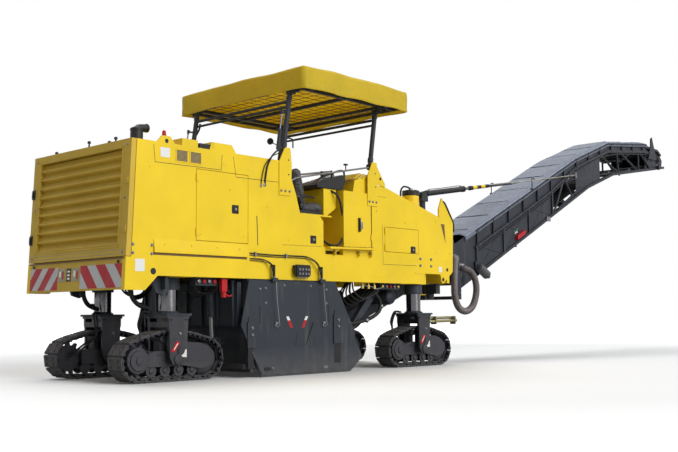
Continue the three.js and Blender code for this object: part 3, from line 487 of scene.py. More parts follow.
paint = {
    "yellow": metal_finish("yellow_enamel", YELLOW, (0.45, 0.3, 0.05), (0.66, 0.48, 0.1), 0.42, coat=0.06,
        bump=0.06, wear=0.2, grain=180.0, specular=0.25),
    "slate": metal_finish("slate_enamel", SLATE, (0.22, 0.21, 0.2), GREY_DUST, 0.5, bump=0.12, wear=0.4,
        dust_top=0.35, specular=0.2),
    "boom": metal_finish("boom_enamel", (0.03, 0.034, 0.043), (0.14, 0.14, 0.14), GREY_DUST,
        0.5, bump=0.12, wear=0.3, specular=0.2),
    "graphite": metal_finish("track_steel", (0.052, 0.052, 0.06), (0.17, 0.165, 0.16), (0.13, 0.12, 0.11),
        0.55, metallic=0.2, bump=0.5, wear=0.4, grain=120.0, dust_top=0.3, specular=0.25),
    "column": metal_finish("column_steel", (0.046, 0.047, 0.053), (0.2, 0.2, 0.2), (0.15, 0.14, 0.13),
        0.38, metallic=0.6, bump=0.12, wear=0.3),
    "chrome": metal_finish("chromed_rod", (0.155, 0.155, 0.162), (0.13, 0.125, 0.12), (0.18, 0.17, 0.16),
        0.2, metallic=1.0, bump=0.03, wear=0.2),
    "steel": metal_finish("zinc_steel", (0.22, 0.22, 0.23), (0.15, 0.13, 0.11), (0.2, 0.18, 0.16),
        0.4, metallic=0.85, bump=0.15, wear=0.5),
    "black": metal_finish("black_enamel", (0.012, 0.012, 0.014), (0.07, 0.07, 0.07), (0.07, 0.066, 0.062),
        0.45, bump=0.12, wear=0.3, specular=0.3),
    "rubber": metal_finish("hose_rubber", (0.013, 0.013, 0.014), (0.04, 0.04, 0.04),
        (0.07, 0.065, 0.06), 0.6, bump=0.35, wear=0.3, grain=420.0, specular=0.3),
    "pad": metal_finish("shoe_pad", (0.1, 0.095, 0.092), (0.13, 0.125, 0.12), (0.16, 0.15, 0.14), 0.7,
        bump=0.5, wear=0.4, grain=90.0, specular=0.2),
    # darker yellow for the rear door, bumper, louvres and lamp block: partly dust, partly painted shade of
    # the rear face
    "rear": metal_finish("rear_enamel_dust_and_painted_shade", (0.64, 0.43, 0.055), (0.4, 0.3, 0.08), (0.48, 0.36, 0.13),
        0.5, bump=0.08, wear=0.25, grain=160.0, specular=0.2),
    "red": metal_finish("red_enamel", (0.46, 0.014, 0.02), (0.25, 0.03, 0.03), (0.32, 0.06, 0.05),
        0.4, bump=0.08, specular=0.25),
    "white": metal_finish("white_film", (0.8, 0.8, 0.78), (0.6, 0.58, 0.55), (0.55, 0.52, 0.47),
        0.4, bump=0.05, wear=0.2),
    # a dimmer copy of the white film for the hazard boards on the rear face: painted shade
    "board": metal_finish("board_film_painted_shade", (0.55, 0.55, 0.55), (0.4, 0.38, 0.35), (0.38, 0.35, 0.3),
        0.45, bump=0.05, wear=0.3),
    "brass": metal_finish("brass_fitting", (0.55, 0.4, 0.12), (0.3, 0.22, 0.1), (0.3, 0.25, 0.16), 0.35,
        metallic=0.9, bump=0.1),
    "amber": metal_finish("amber_lens", (0.85, 0.27, 0.02), (0.6, 0.2, 0.03), (0.5, 0.25, 0.1), 0.18,
        coat=0.6, bump=0.05, wear=0.1),
    "mesh": metal_finish("screen_wire", (0.5, 0.36, 0.16), (0.3, 0.22, 0.12),
        (0.4, 0.3, 0.16), 0.5, bump=0.1),
    "soot": metal_finish("sooty_steel", (0.012, 0.011, 0.01), (0.05, 0.045, 0.04),
        (0.05, 0.045, 0.04), 0.85, bump=0.4),
    "olive": metal_finish("olive_plating", (0.3, 0.27, 0.13), (0.2, 0.18, 0.1),
        (0.3, 0.27, 0.2), 0.4, metallic=0.6),
    "shade": metal_finish("deep_shadow", (0.16, 0.09, 0.03), (0.1, 0.06, 0.03), (0.15, 0.1, 0.05), 0.7),
    "green": metal_finish("green_enamel", (0.02, 0.22, 0.1), (0.1, 0.2, 0.12), (0.1, 0.2, 0.12), 0.4),
    "grey": metal_finish("grey_enamel", (0.07, 0.075, 0.08), (0.16, 0.16, 0.16),
        GREY_DUST, 0.4, bump=0.1),
    "duct": metal_finish("duct_plastic", (0.13, 0.105, 0.105), (0.2, 0.17, 0.16),
        (0.24, 0.2, 0.18), 0.45, bump=0.2),
    "rope": metal_finish("wire_rope", (0.36, 0.33, 0.27), (0.25, 0.2, 0.15), (0.28, 0.24, 0.18), 0.45,
        metallic=0.7, bump=0.4, grain=500.0),
    "wire": metal_finish("mesh_wire", (0.05, 0.045, 0.04), (0.1, 0.09, 0.08),
        (0.12, 0.1, 0.08), 0.6, metallic=0.3),
    "lamp_body": metal_finish("lamp_housing", (0.36, 0.33, 0.24), (0.25, 0.23, 0.18),
        (0.3, 0.28, 0.2), 0.5, bump=0.1),
    "glass": metal_finish("lamp_lens", (0.55, 0.58, 0.6), (0.4, 0.4, 0.4), (0.4, 0.38, 0.35), 0.12,
        metallic=0.4, coat=0.7, bump=0.08, wear=0.1),
}
cloth = {
    "canopy": woven("yellow_tarpaulin", (0.82, 0.65, 0.03), (0.66, 0.51, 0.035),
        0.7, folds=4.0, through=0.45),
    "cover": woven("grey_cover_sheet", (0.12, 0.145, 0.205), (0.092, 0.11, 0.155), 0.6, folds=2.5),
    "hem": woven("grey_cover_hem", (0.36, 0.4, 0.5), (0.26, 0.29, 0.37), 0.5, folds=2.5),
    "vinyl": woven("seat_vinyl", (0.018, 0.018, 0.02), (0.04, 0.04, 0.042), 0.5, pitch=1500.0, folds=9.0),
}


def tones(names):
    """The finishes of a piece, in the order of its tone numbers."""
    return [paint[name] for name in names.split()]


SLOT_FINISH = {
    "yellow_paint": paint["yellow"], "slate_paint": paint["slate"], "graphite_steel": paint["graphite"],
    "column_steel": paint["column"], "bare_steel": paint["chrome"], "black_paint": paint["black"],
    "black_vinyl": cloth["vinyl"], "canopy_cloth": cloth["canopy"], "cover_cloth": cloth["cover"],
}


def finish_nodes():
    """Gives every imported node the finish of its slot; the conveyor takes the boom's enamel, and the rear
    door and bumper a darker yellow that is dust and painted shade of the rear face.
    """
    for part in frame["record"]["subparts"]:
        node = NODES[part["node"]]
        finish = SLOT_FINISH[part["material_slot"]]
        if part["node"].startswith("discharge_conveyor"):
            finish = paint["boom"]
        # the rear door and bumper take the darker rear enamel: dust and painted shade
        if part["node"] in ("rear_grille_door", "rear_bumper"):
            finish = paint["rear"]
        for slot in node.material_slots:
            slot.material = finish


# ----------------------------------------------------------------- crawlers
def pin_line():
    """The closed line of the track pins as (along, up), from the front end of the ground run."""
    radius = TRACK_RADIUS - PIN_DEPTH
    run = PEAK_HALF - TRACK_REACH
    rise = TRACK_PEAK - PIN_DEPTH - TRACK_RADIUS
    leave = math.atan2(rise, run) - math.acos(radius / math.hypot(run, rise))
    steps = 24
    front = []
    for i in range(steps + 1):
        t = -math.pi / 2 + (leave + math.pi / 2) * i / steps
        front.append((TRACK_REACH + radius * math.cos(t), TRACK_RADIUS + radius * math.sin(t)))
    front.append((PEAK_HALF, TRACK_PEAK - PIN_DEPTH))
    return front + [(-x, z) for x, z in front[::-1]]


def walked(line, distance):
    """The point of a closed line at a distance from its start, and the line's whole length."""
    place = line[0]
    total = 0.0
    for (x0, z0), (x1, z1) in zip(line, line[1:] + line[:1]):
        step = math.hypot(x1 - x0, z1 - z0)
        if total <= distance <= total + step:
            share = (distance - total) / step
            place = (x0 + (x1 - x0) * share, z0 + (z1 - z0) * share)
        total += step
    return place, total


def shoe_shape():
    """One padded shoe at the origin: x along the track, z out of it, the pin line at z = 0."""
    half = TRACK_WIDTH / 2
    shoe = Shape()
    plate = [(-0.072, 0.008), (0.07, 0.008), (0.072, 0.014), (0.066, 0.024),
        (-0.066, 0.024), (-0.074, 0.014)]
    shoe.prism([Vector((x, -half, z)) for x, z in plate][::-1],
        [Vector((x, half, z)) for x, z in plate][::-1])
    pad = half - 0.006
    pocket = 0.013
    rows = (0.034, -0.034)
    columns = (0.068, -0.068)
    across = [(-pad, columns[1] - pocket), (columns[1] + pocket, columns[0] - pocket),
        (columns[0] + pocket, pad)]
    for y0, y1 in across:
        shoe.add_box(Vector((-0.064, y0, 0.022)), Vector((0.064, y1, PIN_DEPTH)), 1)
    for y in columns:
        for x0, x1 in ((-0.064, rows[1] - pocket), (rows[1] + pocket, rows[0] - pocket),
                (rows[0] + pocket, 0.064)):
            shoe.add_box(Vector((x0, y - pocket, 0.022)), Vector((x1, y + pocket, PIN_DEPTH)), 1)
    for side in (-1, 1):
        for offset in (0.03, 0.052):
            link_half = 0.085
            low = [Vector((x, side * offset, z)) for x, z in ((-link_half, -0.014), (0.0, -0.022),
                (link_half, -0.014), (link_half, 0.01), (-link_half, 0.01))]
            high = [v + Vector((0, 0.014, 0)) for v in low]
            shoe.prism(low[::-1], high[::-1])
        teeth = [(-0.066, 0.009), (-0.034, -0.016), (0.0, 0.009), (0.034, -0.016), (0.066, 0.009)]
        ring = [Vector((x, side * (half - 0.022), z)) for x, z in teeth]
        shoe.prism(ring, [v + Vector((0, side * 0.012, 0)) for v in ring])
    shoe.turned(Vector((-0.075, -0.075, 0)), (0, 1, 0), [(0, 0.013), (0.15, 0.013)], 0, 10)
    return shoe


def track(name, axle, y):
    """The shoes, on the line of their pins."""
    shoes = Shape()
    one = shoe_shape()
    line = pin_line()
    length = walked(line, 0)[1]
    pins = [walked(line, length * i / SHOE_COUNT)[0] for i in range(SHOE_COUNT)]
    for (x0, z0), (x1, z1) in zip(pins, pins[1:] + pins[:1]):
        along = Vector((x1 - x0, 0, z1 - z0)).normalized()
        out = Vector((along.z, 0, -along.x))
        turn = Matrix((along, Vector((0, -1, 0)), out)).transposed().to_4x4()
        middle = at(axle + (x0 + x1) / 2, y, (z0 + z1) / 2)
        shoes.copy_in(one, Matrix.Translation(middle) @ turn)
    made = piece(f"track_shoes_{name}", shoes, f"crawler_{name}",
        tones("graphite pad"), bevel=0.0025)
    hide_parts(f"track_{name}")


def undercarriage(name, axle, y):
    """Sprocket, idler, rollers and the beam that carries them."""
    side = math.copysign(1, y)
    gear = Shape()
    back, front = axle - TRACK_REACH, axle + TRACK_REACH
    teeth = 11
    wheel = [(0, 0.05), (0, 0.15), (0.05, 0.15), (0.05, 0.05)]
    gear.disc(1, back, y - 0.025, TRACK_RADIUS, wheel, 0, 44)
    for i in range(teeth):
        t = 2 * math.pi * i / teeth
        tooth = Shape()
        tooth.prism([Vector((x, -0.022, z)) for x, z in ((-0.026, 0.14), (0.026, 0.14),
            (0.012, 0.196), (-0.012, 0.196))], [Vector((x, 0.022, z)) for x,
            z in ((-0.026, 0.14), (0.026, 0.14), (0.012, 0.196), (-0.012, 0.196))])
        turn = Matrix.Translation(at(back, y, TRACK_RADIUS)) @ Matrix.Rotation(t, 4, "Y")
        gear.copy_in(tooth, turn)
    hub = [(0, 0.142), (0.086, 0.142), (0.094, 0.134), (0.096, 0.112), (0.112, 0.106), (0.114, 0.05)]
    gear.disc(side, back, y + side * 0.02, TRACK_RADIUS, hub, 0, 36)
    for c, s in circle(14):
        place = at(back + 0.123 * c, y + side * 0.114, TRACK_RADIUS + 0.123 * s)
        gear.bolt(place, (0, side, 0), 0.006)
    gear.disc(side, back, y + side * 0.134, TRACK_RADIUS, [(0, 0.045),
        (0.012, 0.042), (0.014, 0.03)], 0, 24)
    rim = [(-0.055, 0.1), (-0.055, 0.15), (-0.045, 0.168), (-0.028, 0.185), (0.028, 0.185),
        (0.045, 0.168), (0.055, 0.15), (0.055, 0.1), (0.04, 0.06), (0.075, 0.055), (0.078, 0.03)]
    gear.disc(side, front, y, TRACK_RADIUS, rim, 0, 36)
    beam = [(back + 0.13, 0.165), (front - 0.1, 0.165), (front - 0.02, 0.205),
        (front + 0.03, 0.215), (front + 0.03, 0.262), (front - 0.02, 0.272),
        (front - 0.16, 0.335), (back + 0.22, 0.335), (back + 0.13, 0.3)]
    for offset in (-0.098, 0.084):
        gear.plate(beam, y + offset, 0.014)
    gear.slab((back + 0.16, y - 0.07, 0.19), (front - 0.22, y + 0.07, 0.33))
    for x in (back + 0.3, axle - 0.2, axle + 0.2, front - 0.24):
        gear.side_bolt(side, x, y + side * 0.098, 0.295, 0.01)
        gear.side_bolt(side, x + 0.03, y + side * 0.098, 0.195, 0.008)
    shield = [(axle - 0.02, 0.405), (axle + 0.14, 0.43), (axle + 0.36, 0.415), (axle + 0.47, 0.38),
        (axle + 0.565, 0.31), (axle + 0.575, 0.21), (axle + 0.5, 0.15), (axle + 0.38, 0.125),
        (axle + 0.16, 0.165), (axle - 0.02, 0.2)]
    gear.side(shield, y + side * 0.101, y + side * 0.113)
    gear.side([(axle + 0.15, 0.39), (axle + 0.35, 0.385), (axle + 0.45, 0.35), (axle + 0.51, 0.29),
        (axle + 0.47, 0.215), (axle + 0.19, 0.205)], y + side * 0.113, y + side * 0.1165)
    rollers = 4
    for i in range(rollers):
        x = back + 0.19 + i * (2 * TRACK_REACH - 0.38) / (rollers - 1)
        roller = [(-0.08, 0.03), (-0.08, 0.068), (-0.062, 0.068), (-0.058, 0.052), (0.058, 0.052),
            (0.062, 0.068), (0.08, 0.068), (0.08, 0.03)]
        gear.disc(1, x, y, 0.12, roller, 0, 20)
        gear.disc(side, x, y + side * 0.08, 0.12, [(0, 0.034), (0.012, 0.03), (0.016, 0.018)])
    for x in (axle - 0.12, axle + 0.12):
        gear.disc(1, x, y - 0.08, 0.466, [(0, 0.026), (0, 0.04), (0.16, 0.04), (0.16, 0.026)], 0, 18)
        gear.slab((x - 0.03, y - 0.055, 0.33), (x + 0.03, y + 0.055, 0.45))
    gear.disc(1, axle, y - 0.205, TRACK_RADIUS, [(0, 0.045), (0.41, 0.045)], 1, 24)
    for end in (-1, 1):
        gear.disc(end, axle, y + end * 0.197, TRACK_RADIUS, [(0, 0.056),
            (0.01, 0.056), (0.013, 0.05)], 0, 24)
        for c, s in circle(6):
            gear.side_bolt(end, axle + 0.04 * c, y + end * 0.209, TRACK_RADIUS + 0.04 * s, 0.006)
    made = piece(f"undercarriage_{name}", gear, f"crawler_{name}",
        tones("graphite steel"), bevel=0.002)
    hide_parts(f"track_frame_{name}")


for leg_name, (leg_x, leg_y) in AXLES.items():
    track(leg_name, leg_x, leg_y)
    undercarriage(leg_name, leg_x, leg_y)


# ------------------------------------------------------------------- rear end
def leaning(shape, y0, y1, z0, z1, back, out, tone=0, base=0.0):
    """A slab on the leaning rear face, from back behind it to out in front of it."""
    shape.side([(base + rear_face(z0) - out, z0), (base + rear_face(z0) + back, z0),
        (base + rear_face(z1) + back, z1), (base + rear_face(z1) - out, z1)], y0, y1, tone)


def striped_board(shape, y0, y1, z0, z1, rise, count):
    """A red and white hazard board on the bumper, its stripes leaning by rise along Y."""
    face = 0.005
    # the board's white ground is the dimmed board film, with the rear face's shade painted in
    leaning(shape, y0, y1, z0, z1, 0.0, 0.002, 0, face)
    pitch = (y1 - y0 + abs(rise)) / count
    start = min(y0, y0 - rise)
    for i in range(count):
        low0 = start + i * pitch
        stripe = [(low0, z0), (low0 + pitch * 0.52, z0),
            (low0 + pitch * 0.52 + rise, z1), (low0 + rise, z1)]
        clipped = clip_across(stripe, y0, y1)
        if len(clipped) > 2:
            outer = [at(face + rear_face(z) - 0.0032, y, z) for y, z in clipped]
            inner = [at(face + rear_face(z) - 0.0015, y, z) for y, z in clipped]
            shape.prism(outer, inner, 1)


def clip_across(points, y0, y1):
    """The part of a convex (y, z) outline between y0 and y1."""
    for limit, keep_above in ((y0, True), (y1, False)):
        kept = []
        for a, b in zip(points, points[1:] + points[:1]):
            a_in = a[0] >= limit if keep_above else a[0] <= limit
            b_in = b[0] >= limit if keep_above else b[0] <= limit
            if a_in:
                kept.append(a)
            if a_in != b_in:
                t = (limit - a[0]) / (b[0] - a[0])
                kept.append((limit, a[1] + (b[1] - a[1]) * t))
        points = kept
    return points


def rear_end():
    """Hazard boards, lamps, the rear door's louvres and the radiator behind them."""
    boards = Shape()
    striped_board(boards, -0.945, -0.13, 1.012, 1.262, 0.22, 3)
    striped_board(boards, 0.33, 0.93, 1.012, 1.262, -0.22, 3)
    # dark strip under the rear door: painted shadow
    leaning(boards, -0.95, 0.95, 1.308, 1.324, 0.0, 0.0015, 2)
    piece("hazard_boards", boards, "root", tones("board red shade"))

    lamps = Shape()
    for y in (0.245, -0.045):
        leaning(lamps, y - 0.062, y + 0.062, 1.1, 1.245, 0.0, 0.0035, 4, 0.005)
        leaning(lamps, y - 0.045, y - 0.008, 1.125, 1.215, 0.0, 0.0048, 1, 0.005)
        leaning(lamps, y + 0.01, y + 0.045, 1.15, 1.215, 0.0, 0.0048, 2, 0.005)
    leaning(lamps, 0.055, 0.145, 1.1, 1.245, 0.0, 0.0035, 0, 0.005)
    for z in (1.13, 1.17, 1.21):
        leaning(lamps, 0.075, 0.125, z - 0.01, z + 0.01, 0.0, 0.0048, 2, 0.005)
    leaning(lamps, -0.11, 0.31, 0.996, 1.09, 0.0, 0.0025, 3, 0.005)
    for y in (-0.84, 0.84):
        lamps.turned(at(0.014, y, 1.28), (-1, 0, 0), [(0, 0.018), (0.009, 0.016)])
    piece("rear_lamps", lamps, "root",
        tones("black red glass rear lamp_body"), bevel=0.001)

    door = Shape()
    pitch = 0.104
    for i in range(10):
        foot = 1.45 + pitch * (i + 0.1)
        leaning(door, -0.822, 0.822, foot - 0.004, foot + 0.012, 0.012, -0.002, 0)
        door.side([(rear_face(foot) + 0.052, foot - 0.022), (rear_face(foot) + 0.055,
            foot - 0.022), (rear_face(foot) + 0.014, foot + 0.006), (rear_face(foot) + 0.011,
            foot + 0.006)], -0.82, 0.82)
    for y in (-0.835, 0.815):
        leaning(door, y, y + 0.02, 1.44, 2.5, 0.0, 0.006, 0)
    for z in (1.435, 2.49):
        leaning(door, -0.835, 0.835, z, z + 0.018, 0.0, 0.006, 0)
    for z in (1.36, 1.4):
        leaning(door, -0.93, 0.93, z, z + 0.004, 0.0, 0.0012, 1)
    for y in (-0.9, 0.9):
        for z in (1.38, 1.95, 2.52):
            door.bolt(at(rear_face(z), y, z), (-1, 0, 0), 0.01, 1)
    for z in (1.6, 2.14):
        leaning(door, 0.915, 0.968, z - 0.055, z + 0.055, 0.0, 0.014, 2)
        leaning(door, 0.93, 0.953, z - 0.035, z + 0.035, 0.0, 0.026, 2)
    for z in (1.62, 2.14):
        leaning(door, -0.952, -0.915, z - 0.04, z + 0.04, 0.0, 0.01, 0)
        door.turned(at(rear_face(z) - 0.009, -0.935, z), (-1, 0, 0), [(0, 0.012), (0.008, 0.01)], 0, 14)
    piece("rear_door_trim", door, "rear_door", tones("rear steel black"), bevel=0.0015)

    core = Shape()
    for i in range(46):
        y = -0.79 + i * 0.035
        core.pad(0.218, 0.2285, 1.42, 2.42, y, 0.014)
    for z in (1.75, 2.1):
        core.slab((0.212, -0.8, z), (0.222, 0.8, z + 0.03), 1)
    piece("radiator_core", core, "root", tones("black steel"))


# ----------------------------------------------------------------------- hood
def wire_screen(shape, x0, x1, z0, z1, side, tone):
    """A woven screen on a side face, over a black slab that paints in the shade of the opening behind it.
    """
    y = side * HALF
    # black slab behind the wires: painted shade of the vent opening
    shape.slab((x0, y - side * 0.001, z0), (x1, y + side * 0.002, z1), 1)
    for i in range(SCREEN_WIRES + 1):
        x = x0 + (x1 - x0) * i / SCREEN_WIRES
        z = z0 + (z1 - z0) * i / SCREEN_WIRES
        shape.pad(x - 0.002, x + 0.002, z0, z1, y, side * 0.0055, tone)
        shape.pad(x0, x1, z - 0.002, z + 0.002, y, side * 0.0045, tone)
    for a, b in (((x0 - 0.012, z0 - 0.012), (x1 + 0.012, z0)), ((x0 - 0.012, z1),
            (x1 + 0.012, z1 + 0.012)), ((x0 - 0.012, z0), (x0, z1)), ((x1, z0), (x1 + 0.012, z1))):
        shape.pad(a[0], b[0], a[1], b[1], y, side * 0.007)


def seam(shape, points, side, tone, width=0.006):
    """A dark joint between panels, along (station, z) points on a side face."""
    for (x0, z0), (x1, z1) in zip(points, points[1:]):
        grow = width / 2
        if abs(x1 - x0) > abs(z1 - z0):
            shape.side([(x0, z0 - grow), (x1, z1 - grow), (x1, z1 + grow), (x0, z0 + grow)],
                side * HALF, side * (HALF + SEAM_RISE), tone)
        else:
            shape.side([(x0 - grow, z0), (x0 + grow, z0), (x1 + grow, z1), (x1 - grow, z1)],
                side * HALF, side * (HALF + SEAM_RISE), tone)


def latch(shape, x, z, side, black, steel, size=0.05):
    """A recessed paddle latch with its lock."""
    y = side * HALF
    shape.pad(x - size, x + size, z - size, z + size, y, side * 0.004, black)
    shape.pad(x - size * 0.75, x + size * 0.35, z - size * 0.7, z + size * 0.7, y, side * 0.011, black)
    shape.disc(side, x + size * 0.1, y + side * 0.01, z, [(0, size * 0.36), (0.004, size * 0.3)], steel)
    shape.pad(x + size * 0.45, x + size * 0.75, z - size * 0.6, z + size * 0.6, y, side * 0.016, black)


def hood_side(name, side):
    """Seams, screens, latches, hoses and bracket bolts on one side of the hood."""
    y = side * HALF
    trim = Shape()
    yellow, black, steel, white, mesh_tone = 0, 1, 2, 3, 4
    wire_screen(trim, 0.655, 0.8, 2.4, 2.52, side, mesh_tone)
    wire_screen(trim, 0.845, 0.99, 2.4, 2.52, side, mesh_tone)
    seam(trim, [(0.35, 2.54), (0.37, 2.355), (1.29, 2.365), (1.3, 2.54)], side, black)
    seam(trim, [(1.47, 2.54), (1.51, 2.305), (2.185, 2.312)], side, black)
    seam(trim, [(1.835, 1.88), (1.85, 1.53)], side, black, 0.012)
    trim.pad(0.44, 0.565, 2.42, 2.525, y, side * 0.0015, white)
    trim.cross([(y, 1.385), (y + side * 0.026, 1.385), (y + side * 0.026, 1.415),
        (y + side * 0.001, 1.535)], 0.36, 1.68, yellow)
    # dark strip under the band: painted shadow
    trim.pad(0.36, 1.68, 1.36, 1.386, y, side * 0.003, 5)
    for x in (0.5, 0.86, 1.22, 1.56):
        trim.side_bolt(side, x, y + side * 0.014, 1.475, 0.009, yellow)
    for x in (0.07, 0.31):
        for z in (1.37, 1.46):
            trim.side_bolt(side, x + 0.03, y, z, 0.014, steel)
    trim.pad(0.13, 0.25, 1.18, 1.31, y, side * 0.0015, white)
    trim.disc(side, 0.36, y, 1.185, [(0, 0.036), (0.002, 0.036)], black, 24)
    trim.disc(side, 0.36, y, 1.185, [(0, 0.05), (0.0012, 0.05)], yellow, 24)
    for x, z in ((0.3, 2.3), (1.33, 2.43), (1.42, 2.15), (2.0, 2.0), (2.35, 1.62)):
        trim.side_bolt(side, x, y, z, 0.008, yellow)
    latch(trim, 2.78, 1.65, side, black, steel)
    seam(trim, [(2.25, 1.56), (2.93, 1.57)], side, black, 0.004)
    trim.slab((1.165, y * 0.7, 2.595), (1.17, y, 2.66), black)
    trim.slab((0.985, side * 0.6, 2.5805), (1.145, side * 0.965, 2.638), black)
    for i in range(6):
        trim.slab((0.975, side * (0.63 + 0.055 * i), 2.59),
            (0.986, side * (0.66 + 0.055 * i), 2.63), black)
    trim.disc(side, 0.52, y - side * 0.041, 2.6, [(0, 0.024), (0.042, 0.024)], black, 20)
    trim.disc(side, 0.52, y - side * 0.041, 2.6, [(0, 0.036), (0.0415, 0.036)], yellow, 20)
    piece(f"hood_trim_{name}", trim, "root",
        tones("yellow black steel white mesh shade"), bevel=0.001)

    door = Shape()
    latch(door, 1.5, 1.93, side, 0, 1)
    for x, z in ((1.0, 1.62), (1.63, 1.62), (1.63, 2.27)):
        door.side_bolt(side, x, y, z, 0.007, 2)
    piece(f"engine_door_latch_{name}", door, f"engine_door_{name}",
        tones("black steel yellow"), bevel=0.001)

    hose = Shape()
    post_line = y + side * 0.012
    hose.hose([(1.96, y, 2.26), (1.965, post_line, 2.36), (2.0, post_line, 2.5), (2.09, post_line, 2.64),
        (2.22, post_line, 2.73), (2.275, post_line, 2.745)], 0.011, 0, 10)
    hose.hose([(1.9, y, 2.24), (1.905, post_line, 2.33), (1.95, post_line, 2.48), (2.05, post_line, 2.6),
        (2.17, post_line, 2.66)], 0.006, 0, 8)
    hose.disc(side, 1.96, y - side * 0.002, 2.26, [(0, 0.022), (0.01, 0.022), (0.012, 0.016)], 1, 12)
    hose.disc(side, 1.9, y - side * 0.002, 2.24, [(0, 0.018), (0.009, 0.018)], 1, 12)
    low = y + side * 0.01
    clear = y + side * 0.052
    for shift, radius in ((0.0, 0.0075), (0.022, 0.0045)):
        hose.hose([(1.72, y, 1.435 - shift), (1.78, low, 1.435 - shift),
            (2.1, low, 1.428 - shift), (2.5, low, 1.432 - shift), (2.66, low + side * 0.01,
            1.425 - shift), (2.79 - shift, clear, 1.36), (2.865 - shift, clear, 1.25),
            (2.885 - shift, clear, 1.156)], radius, 0, 8)
        hose.hose([(1.72, y, 1.37 - shift), (1.78, low, 1.372 - shift), (1.93, low + side * 0.01,
            1.365 - shift), (2.03 - shift, clear, 1.31), (2.065 - shift, clear, 1.22),
            (2.072 - shift, clear, 1.156)], radius, 0, 8)
    for x in (1.8, 2.3):
        hose.pad(x - 0.012, x + 0.012, 1.4, 1.452, y, side * 0.024, 1)
    hose.slab((2.43, y + side * 0.034, 1.18), (2.65, y + side * 0.072, 1.325), 2)
    hose.pad(2.42, 2.66, 1.283, 1.318, y, side * 0.036, 2)
    for x in (2.47, 2.52, 2.575, 2.62):
        for z in (1.215, 1.268):
            hose.disc(side, x, y + side * 0.071, z, [(0, 0.017), (0.012, 0.015)], 1, 12)
        hose.turned(at(x, y + side * 0.053, 1.185), (0, 0, -1), [(0, 0.011), (0.028, 0.01)], 1, 10)
    for x in (2.418, 2.662):
        hose.slab((x - 0.012, y + side * 0.036, 1.2), (x + 0.012, y + side * 0.06, 1.31), 2)
    piece(f"side_hoses_{name}", hose, "root", tones("rubber steel black"))

    bracket = Shape()
    outer = side * (HALF + 0.0125)
    for x in (2.22, 2.29, 2.36):
        bracket.side_bolt(side, x, outer, 2.215, 0.013)
    for x in (3.84, 3.91, 3.98):
        bracket.side_bolt(side, x, outer, 2.215, 0.013)
    for x in (2.28, 3.9):
        bracket.plate([(x - 0.05, 2.36), (x + 0.05, 2.36), (x + 0.03, 2.54), (x - 0.03, 2.54)],
            outer, side * 0.0006, 1)
        for z in (2.42, 2.6):
            bracket.side_bolt(side, x + 0.065, outer, z, 0.009)
    piece(f"bracket_bolts_{name}", bracket, "root", tones("steel yellow"), bevel=0.001)


def hood_top():
    """Caps, lamps and vents on the hood, and the exhaust pipe."""
    top = Shape()
    black, steel, red = 0, 1, 3
    for x, y, high in ((0.18, 0.68, 0.06), (0.18, 0.0, 0.1), (0.18, -0.4, 0.05), (0.18, -0.52, 0.08)):
        top.post(x, y, HOOD_TOP, [(0, 0.03), (0.012, 0.028), (0.014, 0.01), (high - 0.03, 0.009),
            (high - 0.028, 0.019), (high - 0.008, 0.02), (high, 0.012)], black)
    top.post(0.6, -0.82, HOOD_TOP, [(0, 0.03), (0.012, 0.03), (0.014, 0.009), (0.11, 0.008)], steel, 12)
    top.post(0.6, -0.82, HOOD_TOP + 0.105, [(0, 0.026), (0.012, 0.027), (0.016, 0.022), (0.05, 0.021),
        (0.062, 0.013)], red, 20)
    top.slab((0.142, -0.93, HOOD_TOP), (0.16, 0.93, HOOD_TOP + 0.003), black)
    for x in (1.72, 2.28):
        top.slab((x, -0.93, HOOD_TOP), (x + 0.006, 0.93, HOOD_TOP + 0.0008), black)
    for y in (-0.35, 0.35):
        for x in (1.8, 2.2):
            top.top_bolt(x, y, HOOD_TOP, 0.011, steel)
        top.hose([(1.9, y * 0.5, HOOD_TOP), (1.9, y * 0.5, HOOD_TOP + 0.045),
            (1.9, y * 0.9, HOOD_TOP + 0.045), (1.9, y * 0.9, HOOD_TOP)], 0.008, black, 8, 5)
    for i in range(9):
        x = 0.3 + i * 0.055
        top.slab((x, 0.2, HOOD_TOP), (x + 0.028, 0.72, HOOD_TOP + 0.01), black)
    top.post(1.3, 0.0, HOOD_TOP + 0.09, [(0, 0.06), (0.012, 0.06), (0.016, 0.05), (0.06, 0.05),
        (0.066, 0.056), (0.08, 0.052)], black, 24)
    piece("hood_top_fittings", top, "root", tones("black steel amber red"), bevel=0.0012)

    low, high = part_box("exhaust_stack")
    x = low.x - REAR + 0.103
    y = (low.y + high.y) / 2
    stack = Shape()
    stack.post(x, y, HOOD_TOP + 0.0005, [(0, 0.103), (0.014, 0.103), (0.02, 0.08),
        (0.06, 0.075), (0.062, 0.081), (0.085, 0.081), (0.087, 0.074), (0.285, 0.074),
        (0.287, 0.079), (0.3, 0.079)], 0, 32)
    elbow = [at(x, y, 2.84), at(x + 0.004, y, 2.875), at(x + 0.035, y, 2.895),
        at(x + 0.085, y, 2.903), at(x + 0.15, y, 2.912)]
    stack.pipe(elbow, 0.048, 0, 24, 6)
    stack.post(x, y, 2.872, [(0, 0.078), (0.02, 0.07), (0.034, 0.04)], 0, 32)
    stack.turned(at(x + 0.145, y, 2.91), Vector((1, 0, 0.1)), [(-0.02, 0.052), (0.0, 0.052),
        (0.001, 0.044), (-0.03, 0.04)], 1, 24)
    made = piece("exhaust_pipe", stack, "root", tones("black soot"), bevel=0.0015)
    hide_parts("exhaust_stack")


